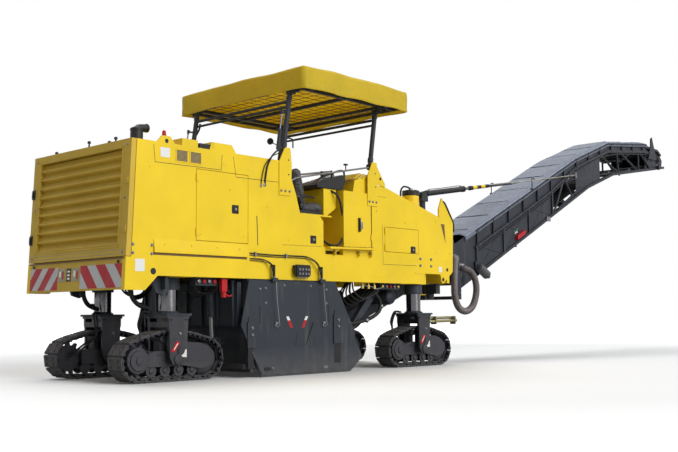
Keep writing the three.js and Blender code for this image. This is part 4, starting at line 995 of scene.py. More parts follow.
# ------------------------------------------------------------ legs and chassis
def column(name, axle, y):
    """Seal, tube, yoke fittings and drive hoses of one leg."""
    side = math.copysign(1, y)
    dress = Shape()
    dress.post(axle, y, 1.004, [(0, 0.1035), (0, 0.126), (0.03, 0.129), (0.045, 0.1245),
        (0.134, 0.1245), (0.1345, 0.1035)], 0, 40)
    body = f"crawler_{name}"
    piece(f"column_seal_{name}", dress, "root", tones("slate"))
    tube = Shape()
    tube.post(axle, y, YOKE_TOP, [(0, 0.1015), (1.002 - YOKE_TOP, 0.1015)], 0, 48)
    tube.post(axle, y, YOKE_TOP, [(0, 0.128), (0.016, 0.128), (0.02, 0.108), (0.034, 0.106)], 1, 40)
    for c, s in circle(10, 0.5):
        tube.top_bolt(axle + 0.118 * c, y + 0.118 * s, YOKE_TOP + 0.014, 0.008, 1)
    piece(f"column_tube_{name}", tube, body, tones("chrome slate steel"))
    yoke = Shape()
    plate = side * 0.195
    yoke.slab((axle - 0.172, y - 0.208, YOKE_TOP - 0.02), (axle + 0.172, y + 0.208, YOKE_TOP + 0.004))
    for end in (-1, 1):
        face = y + end * 0.195
        for dx in (-0.1, 0.1):
            yoke.side_bolt(end, axle + dx, face, YOKE_TOP - 0.06, 0.012)
        yoke.side_bolt(end, axle + 0.02, face, 0.52, 0.014, 1)
    yoke.plate([(axle - 0.105, 0.33), (axle - 0.055, 0.318), (axle + 0.02, 0.425), (axle - 0.03, 0.437)],
        y + plate, side * 0.005, 2)
    yoke.plate([(axle - 0.072, 0.345), (axle - 0.06, 0.342), (axle - 0.008, 0.415), (axle - 0.02, 0.418)],
        y + plate, side * 0.006, 3)
    yoke.plate([(axle + 0.02, 0.268), (axle + 0.112, 0.262), (axle + 0.11, 0.352),
        (axle + 0.092, 0.345), (axle + 0.075, 0.305)], y + plate, side * 0.003, 3)
    yoke.plate([(axle - 0.02, 0.3), (axle + 0.015, 0.3), (axle + 0.015, 0.42), (axle - 0.02, 0.42)],
        y + plate, side * 0.002, 5)
    if name == "front_right":
        for z, dy in ((0.66, -0.1), (0.615, -0.14)):
            yoke.turned(at(axle + 0.1, y + dy, z), (1, 0, 0.02), [(0, 0.018), (0.004, 0.02),
                (0.72, 0.02), (0.724, 0.018)], 4)
        for dx in (0.12, 0.3, 0.76):
            yoke.slab((axle + dx, y - 0.168, 0.575), (axle + dx + 0.02, y - 0.075, 0.69), 4)
        yoke.slab((axle + 0.12, y - 0.168, 0.47), (axle + 0.155, y - 0.15, 0.6), 4)
    piece(f"yoke_fittings_{name}", yoke, body,
        tones("slate steel red white olive black"), bevel=0.0015)
    hose = Shape()
    inner = y - side * 0.215
    for shift in (0.0, 0.034):
        hose.hose([(axle - 0.11 - shift, inner + side * 0.08, 0.752), (axle - 0.19 - shift,
            inner + side * 0.05, 0.755), (axle - 0.21 - shift, inner, 0.62), (axle - 0.22, inner, 0.5),
            (axle - 0.36, inner, 0.38 + shift), (axle - 0.46, inner + side * 0.03, 0.3 + shift),
            (axle - 0.5, inner + side * 0.11, 0.26 + shift)], 0.012, 0, 10)
    piece(f"drive_hoses_{name}", hose, body, tones("rubber"))


def under_frame():
    """Hoses, valves and tanks that show beneath the side rails."""
    low = Shape()
    rubber, steel, slate, red, brass = 0, 1, 2, 3, 4
    for _, side in SIDES:
        y = side * 0.86
        low.slab((1.02, y - side * 0.1, 1.05), (1.33, y, 1.15), slate)
        for i in range(4):
            x = 1.06 + i * 0.075
            low.disc(side, x, y, 1.1, [(0, 0.026), (0.022, 0.024), (0.026, 0.014)], (steel, red)[i % 2])
        low.disc(side, 1.4, y, 1.09, [(0, 0.045), (0.03, 0.045), (0.034, 0.035)], brass, 20)
        low.slab((1.37, y - side * 0.08, 1.1), (1.44, y, 1.16), slate)
        low.slab((4.19, y - side * 0.09, 1.06), (4.6, y, 1.14), slate)
        for i in range(5):
            x = 4.23 + i * 0.082
            low.disc(side, x, y, 1.1, [(0, 0.024), (0.022, 0.022), (0.026, 0.012)],
                (brass, steel, red, steel, brass)[i])
        low.disc(side, 4.62, side * 0.6, 0.965, [(-0.3, 0.105), (0.05, 0.112), (0.09, 0.098),
            (0.12, 0.05)], slate, 28)
        low.slab((4.56, side * 0.42, 1.03), (4.68, side * 0.62, 1.16), slate)
    for _, side in SIDES:
        for i in range(3):
            y = side * (0.7 - 0.06 * i)
            low.hose_at(y, [(1.1 + 0.03 * i, 1.16), (1.13, 1.04), (1.25, 0.97 - 0.02 * i),
                (1.42, 1.0), (1.52, 1.16)], 0.012, rubber, 8)
        low.hose([(4.12, side * 0.74, 1.16), (4.2, side * 0.75, 1.02), (4.31, side * 0.75, 0.9),
            (4.3, side * 0.75, 0.78), (4.16, side * 0.75, 0.69), (3.96, side * 0.74, 0.635),
            (3.76, side * 0.72, 0.6), (3.58, side * 0.7, 0.6)], 0.026, rubber, 12)
        for x, z in ((4.325, 0.84), (4.02, 0.65)):
            low.turned(at(x, side * 0.75, z - 0.02), (0.5, 0, 0.6), [(0, 0.031),
                (0.03, 0.031)], steel, 14)
        low.hose([(0.43, side * 0.47, 1.16), (0.432, side * 0.47, 1.05),
            (0.445, side * 0.47, 0.94), (0.5, side * 0.48, 0.86), (0.58, side * 0.49, 0.82),
            (0.655, side * 0.5, 0.8)], 0.026, rubber, 12)
        for x, z, dx in ((0.427, 0.985, 0.1), (0.55, 0.835, 0.9)):
            low.turned(at(x, side * 0.475, z), (dx, 0, dx - 1.0), [(0, 0.032), (0.03, 0.032)], rubber, 14)
    for _, side in SIDES:
        for i in range(5):
            y = side * (0.86 - 0.07 * i)
            low.hose_at(y, [(3.62 + 0.05 * i, 1.17), (3.66, 1.02 - 0.02 * i), (3.85, 0.93 - 0.03 * i),
                (4.08, 1.0), (4.22, 1.1), (4.26, 1.16)], 0.011 + 0.003 * (i % 2), rubber, 8)
        low.hose_at(side * 0.9, [(3.7, 1.1), (3.95, 1.09), (4.05, 1.06), (4.18, 1.08)], 0.01, steel, 8)
        for x in (3.78, 3.9, 4.02):
            low.post(x, side * 0.9, 1.06, [(0, 0.022), (0.05, 0.022), (0.054, 0.012),
                (0.1, 0.012)], brass, 12)
    for side in (-1, 1):
        low.side([(0.43, 1.145), (0.68, 1.145), (0.67, 0.98), (0.6, 0.935), (0.5, 0.965)],
            side * 0.8, side * 0.84, slate)
        low.slab((0.56, side * 0.74, 1.0), (0.6, side * 0.92, 1.145), slate)
    low.slab((1.345, -0.93, 0.985), (1.425, -0.885, 1.13), red)
    low.turned(at(1.385, -0.905, 0.98), (0.1, 0, -1), [(0, 0.03), (0.06, 0.032), (0.065, 0.02)], red)
    low.hose_at(-0.91, [(1.4, 0.97), (1.46, 0.935), (1.505, 0.945)], 0.01, red, 8)
    piece("under_frame_fittings", low, "root",
        tones("rubber steel slate red brass white"), bevel=0.001)


# -------------------------------------------------------------- milling gear
def side_plate_trim(name, side):
    """Feet, stiffeners, marks and cables of one floating side plate."""
    face = side * (HALF + 0.028)
    body = f"side_plate_{name}"
    trim = Shape()
    slate, steel, black, red, white = 0, 1, 2, 3, 4
    for x0, x1, z0, z1 in ((1.66, 1.79, 0.34, 0.64), (3.1, 3.27, 0.36, 0.72)):
        trim.pad(x0, x1, z0, z1, face, side * 0.016, slate)
        trim.pad(x0 + 0.015, x1 - 0.03, z0 - 0.24, z0, face, side * 0.0012, black)
        trim.pad(x0 + 0.02, x1 - 0.04, z1, z1 + 0.06, face, side * 0.01, slate)
        middle = (x0 + x1) / 2
        for z in (z1 - 0.07, z1 - 0.15):
            trim.side_bolt(side, middle, face + side * 0.016, z, 0.016, steel)
    for x in (1.86, 3.02):
        trim.pad(x - 0.014, x + 0.014, 0.62, 0.83, face, side * 0.0012, black)
    for x, z in ((1.86, 1.02), (1.95, 1.03), (1.95, 0.86), (2.98, 1.03), (2.98, 0.86),
            (2.25, 1.07), (2.7, 1.07)):
        trim.side_bolt(side, x, face, z, 0.013, steel)
    for x, lean in ((2.34, 0.07), (2.6, -0.07)):
        for k, tone in enumerate((white, red, red)):
            x0 = x - lean / 2 + lean * k / 3
            z0 = 0.7 - 0.045 * k
            trim.plate([(x0 - 0.022, z0), (x0 + 0.022, z0), (x0 + 0.022 + lean / 3, z0 - 0.045),
                (x0 - 0.022 + lean / 3, z0 - 0.045)], face, side * 0.0012, tone)
    trim.plate([(2.44, 0.35), (2.6, 0.35), (2.58, 0.5), (2.46, 0.5)], face, side * 0.004, slate)
    trim.plate([(2.62, 0.36), (2.64, 0.36), (2.76, 0.63), (2.74, 0.63)], face, side * 0.012, slate)
    trim.plate([(1.72, 0.3), (1.9, 0.022), (3.41, 0.022), (3.49, 0.075), (3.47, 0.095), (3.4, 0.047),
        (1.915, 0.047), (1.75, 0.3)], face, side * 0.008, slate)
    trim.pad(1.93, 2.02, 0.075, 0.11, face, side * 0.006, black)
    trim.side_bolt(side, 2.06, face, 0.095, 0.014, steel)
    trim.pad(2.92, 3.0, 0.06, 0.09, face, side * 0.006, steel)
    for x, z in ((2.12, 0.59), (2.93, 0.59)):
        trim.disc(side, x, face, z, [(0, 0.024), (0.012, 0.024), (0.016, 0.014),
            (0.03, 0.014)], steel, 14)
        trim.pad(x - 0.022, x + 0.022, z + 0.01, z + 0.045, face, side * 0.014, steel)
    for x, lean in ((2.065, 0.055), (2.875, 0.055)):
        trim.hose_at(face + side * 0.057, [(x, 1.105), (x + 0.4 * lean, 0.86),
            (x + lean, 0.6)], 0.006, steel, 8, 6)
        trim.bar((x + lean, face, 0.6), (x + lean, face + side * 0.06, 0.6), 0.009, steel)
    piece(f"side_plate_fittings_{name}", trim, body,
        tones("slate steel black red white"), bevel=0.0015)

    guide = Shape()
    for x in (2.072, 2.885):
        guide.slab((x - 0.045, side * 1.012, 1.11), (x + 0.045, side * 1.045, 1.155))
        guide.slab((x - 0.02, side * 1.012, 1.11), (x + 0.02, side * 1.02, 1.31))
        guide.slab((x - 0.02, side * 0.9755, 1.285), (x + 0.02, side * 1.02, 1.31))
        guide.post(x, side * 1.027, 1.155, [(0, 0.016), (0.02, 0.016), (0.024, 0.01)], 1, 12)
    piece(f"plate_cable_guides_{name}", guide, "root", tones("slate steel"), bevel=0.001)


def milling_drum():
    """The drum's shell with its picks on two screws that meet in the middle."""
    low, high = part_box("milling_drum")
    x, z = (low.x + high.x) / 2 - REAR, (low.z + high.z) / 2
    tip = (high.z - low.z) / 2
    half = high.y - 0.006
    drum = Shape()
    drum.disc(1, x, -half, z, [(0, 0.3), (0.004, tip - 0.115), (2 * half - 0.004, tip - 0.115),
        (2 * half, 0.3)], 0, 64)
    rows = 56
    for i in range(rows):
        share = (i + 0.5) / rows
        for _, side in SIDES:
            y = side * (half - 0.03) * (1 - share)
            for start in (0.0, math.pi):
                t = start + share * 4.4 * math.pi + (0.4 if side > 0 else 0)
                out = Vector((math.cos(t), 0, math.sin(t)))
                lean = Vector((-math.sin(t), side * 0.12, math.cos(t)))
                root_at = at(x, y, z) + out * (tip - 0.118)
                drum.turned(root_at, out + lean * 0.45, [(0, 0.034), (0.045, 0.026), (0.05, 0.02),
                    (0.066, 0.019), (0.072, 0.024), (0.078, 0.015), (0.104, 0.004)], 0, 7)
    made = piece("drum_and_picks", drum, "milling_drum", tones("graphite"))
    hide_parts("milling_drum")


rear_end()
for side_name, side_sign in SIDES:
    hood_side(side_name, side_sign)
    side_plate_trim(side_name, side_sign)
hood_top()
for leg_name, (leg_x, leg_y) in AXLES.items():
    column(leg_name, leg_x, leg_y)
under_frame()
milling_drum()


# --------------------------------------------------------- operator's station
def puffed(name, outline, half, top_bulge):
    """A cushion: a rounded block, remeshed and swelled by cloth, with its points held near the start."""
    grid = Shape()
    grid.side(outline, -half, half)
    obj = placed(name, mesh_of(name, grid.verts, grid.faces))
    round_off = obj.modifiers.new("round", "BEVEL")
    round_off.width = 0.028
    round_off.segments = 4
    remesh = obj.modifiers.new("remesh", "REMESH")
    remesh.mode = "VOXEL"
    remesh.voxel_size = CUSHION_VOXEL
    apply_all(obj)
    start = [v.co.copy() for v in obj.data.vertices]
    cloth_mod = obj.modifiers.new("cloth", "CLOTH")
    cloth_mod.settings.use_pressure = True
    cloth_mod.settings.uniform_pressure_force = 4.0
    cloth_mod.settings.effector_weights.gravity = 0.0
    cloth_mod.settings.tension_stiffness = 12
    cloth_mod.settings.quality = 4
    for step in range(1, 16):
        bpy.context.scene.frame_set(step)
        bpy.context.view_layer.update()
    apply_all(obj)
    bpy.context.scene.frame_set(1)
    for v, old in zip(obj.data.vertices, start):
        move = v.co - old
        if move.length > top_bulge:
            v.co = old + move.normalized() * top_bulge
    return obj


def apply_all(obj):
    graph = bpy.context.evaluated_depsgraph_get()
    made = bpy.data.meshes.new_from_object(obj.evaluated_get(graph))
    obj.modifiers.clear()
    old = obj.data
    obj.data = made
    bpy.data.meshes.remove(old)


def press_channels(obj, direction, places, depth=0.007):
    """Sewn channels pressed into a cushion where it crosses the given places along a direction."""
    direction = Vector(direction).normalized()
    centre = sum((v.co for v in obj.data.vertices), Vector()) / len(obj.data.vertices)
    for v in obj.data.vertices:
        along = v.co.dot(direction)
        for place in places:
            near = abs(along - place) / CHANNEL_WIDTH
            if near < 1:
                inward = (centre - v.co)
                inward -= direction * inward.dot(direction)
                if inward.length:
                    v.co += inward.normalized() * depth * (1 - near) ** 2


def seats():
    """Two padded seats with their shells, armrests and piping."""
    base_z = SEAT_FOOT
    cushion_outline = [(2.66, base_z + 0.045), (3.02, base_z + 0.045), (3.045, base_z + 0.09),
        (3.04, base_z + 0.14), (2.96, base_z + 0.155), (2.76, base_z + 0.135), (2.66, base_z + 0.125)]
    back_outline = [(2.66, base_z + 0.13), (2.76, base_z + 0.145), (2.75, base_z + 0.25),
        (2.71, base_z + 0.43), (2.665, base_z + 0.555), (2.6, base_z + 0.58), (2.535, base_z + 0.545),
        (2.55, base_z + 0.37), (2.6, base_z + 0.2)]
    cushion = puffed("seat_cushion_right", cushion_outline, 0.205, 0.016)
    press_channels(cushion, (1, 0, 0), [REAR + 2.8, REAR + 2.92])
    back = puffed("seat_back_right", back_outline, 0.2, 0.014)
    press_channels(back, (0, 0, 1), [base_z + 0.235, base_z + 0.355])
    press_channels(back, (0, 1, 0), [-0.12, 0.12], 0.006)
    for obj in (cushion, back):
        obj.data.materials.clear()
        obj.data.materials.append(cloth["vinyl"])
        smooth(obj.data)
    twins = [placed(obj.name.replace("right", "left"), obj.data.copy()) for obj in (cushion, back)]
    made = {"right": (cushion, back), "left": twins}
    for name, side in SIDES:
        for obj in made[name]:
            for v in obj.data.vertices:
                v.co.y += side * SEAT_LINE
            finer = obj.modifiers.new("finer", "SUBSURF")
            finer.levels = 1
            finer.render_levels = 1
            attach(obj, "root")
        y = side * SEAT_LINE
        shell = Shape()
        shell.side([(2.62, base_z), (3.0, base_z), (3.04, base_z + 0.05),
            (2.63, base_z + 0.05)], y - 0.2, y + 0.2)
        shell.side([(2.6, base_z + 0.04), (2.66, base_z + 0.04), (2.6, base_z + 0.2),
            (2.535, base_z + 0.4), (2.52, base_z + 0.4), (2.545, base_z + 0.2)], y - 0.14, y + 0.14)
        for end in (-1, 1):
            arm = y + end * 0.222
            shell.hose_at(arm, [(2.6, base_z + 0.17), (2.66, base_z + 0.215), (2.78, base_z + 0.225),
                (2.86, base_z + 0.215)], 0.013, 0, 12)
            shell.disc(end, 2.66, y + end * 0.19, base_z + 0.1, [(0, 0.04),
                (0.03, 0.038), (0.034, 0.02)], 0, 20)
        shell.hose([(3.0, y + 0.1, base_z + 0.02), (3.06, y + 0.1, base_z + 0.03),
            (3.055, y + 0.02, base_z + 0.03)], 0.007, 1, 8)
        piping = Shape()
        for px, pz in ((2.645, base_z + 0.085), (3.035, base_z + 0.068)):
            piping.hose([(px, y - 0.2, pz), (px, y, pz), (px, y + 0.2, pz)], 0.004, 0, 6, 3)
        fitted = piece(f"seat_shell_{name}", shell, "root", tones("black steel"),
            bevel=0.006, segments=2)
        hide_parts(f"seat_{name}")
        piece(f"seat_piping_{name}", piping, "root", tones("rubber"))


def station():
    """Desks, console, wheel, rails and steps of the operator's platform."""
    desk = Shape()
    yellow, black, steel, red, glass, white = 0, 1, 2, 3, 4, 5
    for _, side in SIDES:
        y0, y1 = side * 0.88, side * 0.52
        desk.side([(3.09, 1.9715), (3.115, 1.9715), (3.3, 2.09), (3.3, 2.33), (3.07, 2.33),
            (3.07, 2.0)], y0, y1, yellow)
        desk.side([(2.94, 2.335), (3.4, 2.335), (3.47, 2.46), (3.455, 2.525), (3.4, 2.535), (3.06, 2.425),
            (2.94, 2.37)], side * 0.9, side * 0.46, black)
        for i in range(4):
            for k in range(3):
                x = 3.14 + i * 0.055
                z = 2.425 + (x - 3.06) * 0.3235 - 0.002
                desk.turned(at(x, side * (0.52 + k * 0.05), z), (-0.23, 0, 1),
                    [(0, 0.011), (0.008, 0.01)], (red, glass, steel)[(i + k) % 3], 10)
        desk.slab((3.33, side * 0.62, 2.5), (3.345, side * 0.78, 2.6), black)
        desk.slab((3.328, side * 0.635, 2.512), (3.3305, side * 0.765, 2.59), glass)
        stick = at(3.17, side * 0.74, 2.42)
        desk.turned(stick, (0, 0, 1), [(0, 0.032), (0.012, 0.03), (0.03, 0.01)], black)
        desk.rod(stick, stick + Vector((0.01, 0, 0.09)), 0.007, steel, 10)
        desk.turned(stick + Vector((0.01, 0, 0.085)), (0.1, 0, 1), [(0, 0.012), (0.02, 0.019),
            (0.06, 0.021), (0.075, 0.012)], black, 14)
        rail = side * 0.89
        desk.hose_at(rail, [(2.93, 2.36), (2.96, 2.43), (3.08, 2.49), (3.22, 2.54), (3.36, 2.585),
            (3.44, 2.585), (3.455, 2.52)], 0.013, black, 12)
        guard = side * 0.957
        desk.hose_at(guard, [(2.42, 2.36), (2.52, 2.4), (2.75, 2.452), (3.3, 2.563),
            (3.86, 2.676)], 0.012, steel, 12)
        desk.hose_at(guard, [(3.41, 2.585), (3.41, 2.64), (3.4, 2.66)], 0.008, black, 8, 3)
        desk.slab((3.385, guard - 0.018, 2.655), (3.435, guard + 0.018, 2.675), black)
        desk.side([(3.0, 1.545), (3.9, 1.565), (3.9, 1.59), (3.0, 1.572)],
            side * HALF, side * 1.062, yellow)
        for x in (3.14, 3.6, 3.84):
            desk.side([(x, 1.548), (x, 1.47), (x + 0.012, 1.47), (x + 0.012, 1.548)],
                side * HALF, side * 1.02, yellow)
            desk.bar((x - 0.02, side * 1.0, 1.52), (x + 0.035, side * 1.0, 1.52), 0.012, steel)
        for i in range(11):
            x = 3.06 + 0.076 * i
            desk.slab((x, side * 0.985, 1.5745 + 0.0222 * (x - 3.0)), (x + 0.02, side * 1.055,
                1.5785 + 0.0222 * (x - 3.0)), black)
        inner = side * 0.43
        desk.hose_at(inner, [(2.5, 2.3), (2.62, 2.47), (2.8, 2.505), (3.25, 2.585), (3.6, 2.645),
            (3.72, 2.64), (3.745, 2.57)], 0.013, steel, 12)
        hose = side * 0.945
        desk.hose([(3.2, side * 0.86, 2.32), (3.27, hose, 2.24), (3.34, hose, 2.06),
            (3.38, hose, 1.86), (3.35, hose, 1.69), (3.25, hose, 1.605), (3.12, hose, 1.6),
            (3.02, hose, 1.64), (2.968, side * 0.93, 1.68)], 0.015, black, 12)
        for i in range(3):
            x = 3.56 + 0.09 * i
            desk.side([(x, 2.495 + 0.014 * i), (x + 0.012, 2.49 + 0.014 * i), (x + 0.15, 2.575),
                (x + 0.14, 2.585)], side * 0.36, side * 0.955, yellow)
        face = side * HALF
        desk.side([(3.99, 2.72), (4.17, 2.475), (4.165, 2.43), (4.0, 2.47)], face + side * 0.001,
            face + side * 0.011, yellow)
        desk.disc(side, 4.07, face + side * 0.011, 2.54, [(0, 0.022), (0.0012, 0.022)], black)
        desk.pad(3.625, 3.655, 1.8, 1.98, face, side * 0.025, black)
        desk.hose([(3.64, face, 1.83), (3.64, face + side * 0.035, 1.85),
            (3.64, face + side * 0.035, 1.94), (3.64, face, 1.96)], 0.007, steel, 8)
        desk.pad(3.665, 3.71, 1.84, 1.93, face, side * 0.01, steel)
        for z in (1.7, 2.22):
            desk.post(3.875, face + side * 0.008, z, [(0, 0.01), (0.07, 0.01)], yellow, 12)
    desk.slab((3.135, -0.115, 2.36), (3.15, 0.115, 2.47), black)
    desk.slab((3.133, -0.1, 2.372), (3.1355, 0.1, 2.458), glass)
    slope = Vector((-0.592, 0, 0.806))
    for i in range(4):
        for k in range(9):
            foot = at(2.99 + i * 0.065, -0.28 + k * 0.07, 2.1395 + i * 0.0478)
            desk.turned(foot, slope, [(-0.004, 0.013), (0.009, 0.012)],
                (black, red, white, glass)[(i + 2 * k) % 4], 10)
    wheel = at(3.03, 0.0, 2.26)
    desk.rod(at(3.12, 0, 2.2), wheel, 0.014, steel)
    ring = [wheel + slope.cross(Vector((0, 1, 0))) * 0.13 * c + Vector((0, 0.13, 0))
        * s for c, s in circle(24)]
    desk.pipe(ring, 0.012, black, 10, 2, True)
    for t in (0.5, 2.6, 4.7):
        tip = slope.cross(Vector((0, 1, 0))) * 0.13 * math.cos(t) + Vector((0, 0.13, 0)) * math.sin(t)
        desk.rod(wheel, wheel + tip, 0.007, black, 8)
    for i in range(7):
        for k in range(26):
            x = 3.0 + i * 0.048
            y = -0.86 + k * 0.0688
            turn = 0.014 if (i + k) % 2 else -0.014
            desk.bar((x - 0.012, y - turn, 1.5705), (x + 0.012, y + turn, 1.5705), 0.0028, steel, 6)
    piece("station_fittings", desk, "root",
        tones("yellow black steel red glass white"), bevel=0.0015)


# ---------------------------------------------------------------- front body
def front_body():
    """Seams, bolts, filler cap, covers and latches of the tank block."""
    trim = Shape()
    yellow, black, steel, white, brown, rubber = 0, 1, 2, 3, 4, 5
    for _, side in SIDES:
        face = side * HALF
        seam(trim, [(3.888, 2.36), (3.885, 1.53)], side, black, 0.005)
        seam(trim, [(4.11, 1.93), (4.125, 1.39), (4.84, 1.395)], side, black, 0.005)
        seam(trim, [(3.9, 2.3), (4.2, 2.3)], side, black, 0.004)
        for x in (4.93, 5.175):
            for z in (1.4, 1.495):
                trim.side_bolt(side, x, face, z, 0.017, steel)
        # brown triangle near the tank's front edge: painted shade
        trim.plate([(5.42, 2.02), (5.51, 2.02), (5.53, 1.74)], face, side * 0.0012, brown)
        trim.disc(side, 5.46, face, 1.215, [(0, 0.03), (0.0015, 0.03)], black, 20)
        trim.disc(side, 5.46, face, 1.215, [(0, 0.052), (0.0009, 0.052)], yellow, 24)
        trim.pad(5.36, 5.43, 1.32, 1.4, face, side * 0.0015, white)
        trim.disc(side, 5.56, face, 1.36, [(0, 0.026), (0.0014, 0.026)], black, 20)
        for x, z in ((5.3, 2.05), (5.3, 1.6), (5.62, 1.6), (4.0, 2.1), (4.6, 1.98)):
            trim.side_bolt(side, x, face, z, 0.008, yellow)
        trim.plate([(4.82, 1.3), (4.99, 1.3), (4.99, 1.285), (4.82, 1.285)], face, side * 0.006, yellow)
        trim.hose([(5.47, face - side * 0.012, 2.36), (5.52, face + side * 0.006, 2.33),
            (5.62, face + side * 0.006, 2.2), (5.73, face, 2.05),
            (5.76, face - side * 0.02, 1.92)], 0.011, rubber, 10)
    low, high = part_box("filler_neck")
    x, y = (low.x + high.x) / 2 - REAR, (low.y + high.y) / 2
    radius = (high.y - low.y) / 2
    trim.post(x, y, high.z - 0.05, [(0, radius), (0.004, radius + 0.008), (0.046, radius + 0.008),
        (0.048, radius)], black, 40)
    trim.post(x, y, high.z + 0.026, [(0, 0.075), (0.012, 0.072), (0.016, 0.03), (0.04, 0.028)], steel, 28)
    for c, s in circle(8):
        trim.top_bolt(x + 0.1 * c, y + 0.1 * s, high.z + 0.0255, 0.009, steel)
    trim.hose([(x, y, high.z + 0.055), (x - 0.07, y, high.z + 0.075),
        (x - 0.17, y, high.z + 0.07), (x - 0.225, y, high.z), (x - 0.225, y, high.z - 0.12),
        (x - 0.2, y - 0.01, high.z - 0.21)], 0.013, rubber, 12)
    trim.post(x - 0.2, y - 0.01, high.z - 0.245, [(0, 0.032), (0.03, 0.03), (0.04, 0.018)], steel, 14)
    for x in (4.35, 4.95):
        z = 2.45 - (x - 4.13) * 0.2661
        up = Vector((0.257, 0, 0.966))
        trim.turned(at(x, 0.1, z), up, [(0, 0.21), (0.012, 0.21), (0.016, 0.2)], yellow, 40)
        for c, s in circle(12):
            place = at(x, 0.1, z) + Vector((0.966, 0, -0.257)) * 0.18 * c + Vector((0, 0.18, 0)) * s
            trim.bolt(place + up * 0.015, up, 0.01, steel)
    for y in (0.62, -0.25):
        trim.hose_at(y, [(4.4, 2.375), (4.4, 2.45), (4.62, 2.4), (4.62, 2.32)], 0.009, black, 10, 4)
    piece("front_body_trim", trim, "root",
        tones("yellow black steel white shade rubber"), bevel=0.001)
    for name, side in SIDES:
        door = Shape()
        latch(door, 4.77, 1.61, side, 0, 1)
        for x, z in ((4.21, 1.6), (4.85, 1.86)):
            door.side_bolt(side, x, side * HALF, z, 0.007, 2)
        piece(f"toolbox_latch_{name}", door, f"toolbox_door_{name}",
            tones("black steel yellow"), bevel=0.001)


# ------------------------------------------------------- discharge conveyor
def height_on(points, x):
    for (x0, z0), (x1, z1) in zip(points, points[1:]):
        if x <= x1:
            return z0 + (z1 - z0) * (x - x0) / (x1 - x0)
    (x0, z0), (x1, z1) = points[-2:]
    return z0 + (z1 - z0) * (x - x0) / (x1 - x0)


def top_at(x):
    return height_on(BOOM_TOP, x)


def low_at(x):
    return height_on(BOOM_LOW, x)


def channel_at(x):
    """Foot of the upper channel, which gets shallower toward the head."""
    depth = 0.28 if x < 9.4 else max(0.28 - (x - 9.4) * 0.11, 0.16)
    return top_at(x) - depth


def above(line, rise):
    """The line of heights, moved up."""
    return lambda x: line(x) + rise


def stations(x0, x1, step=0.35):
    bends = [x for x, _ in (*BOOM_TOP, *BOOM_LOW) if x0 < x < x1]
    count = max(1, round((x1 - x0) / step))
    return sorted({round(x0 + (x1 - x0) * i / count, 4) for i in range(count + 1)} | set(bends))


def strip(shape, x0, x1, upper, lower, y0, y1, tone=0):
    """A plate between two height lines, along the boom."""
    xs = stations(x0, x1)
    for a, b in zip(xs, xs[1:]):
        shape.side([(a, lower(a)), (b, lower(b)), (b, upper(b)), (a, upper(a))], y0, y1, tone)


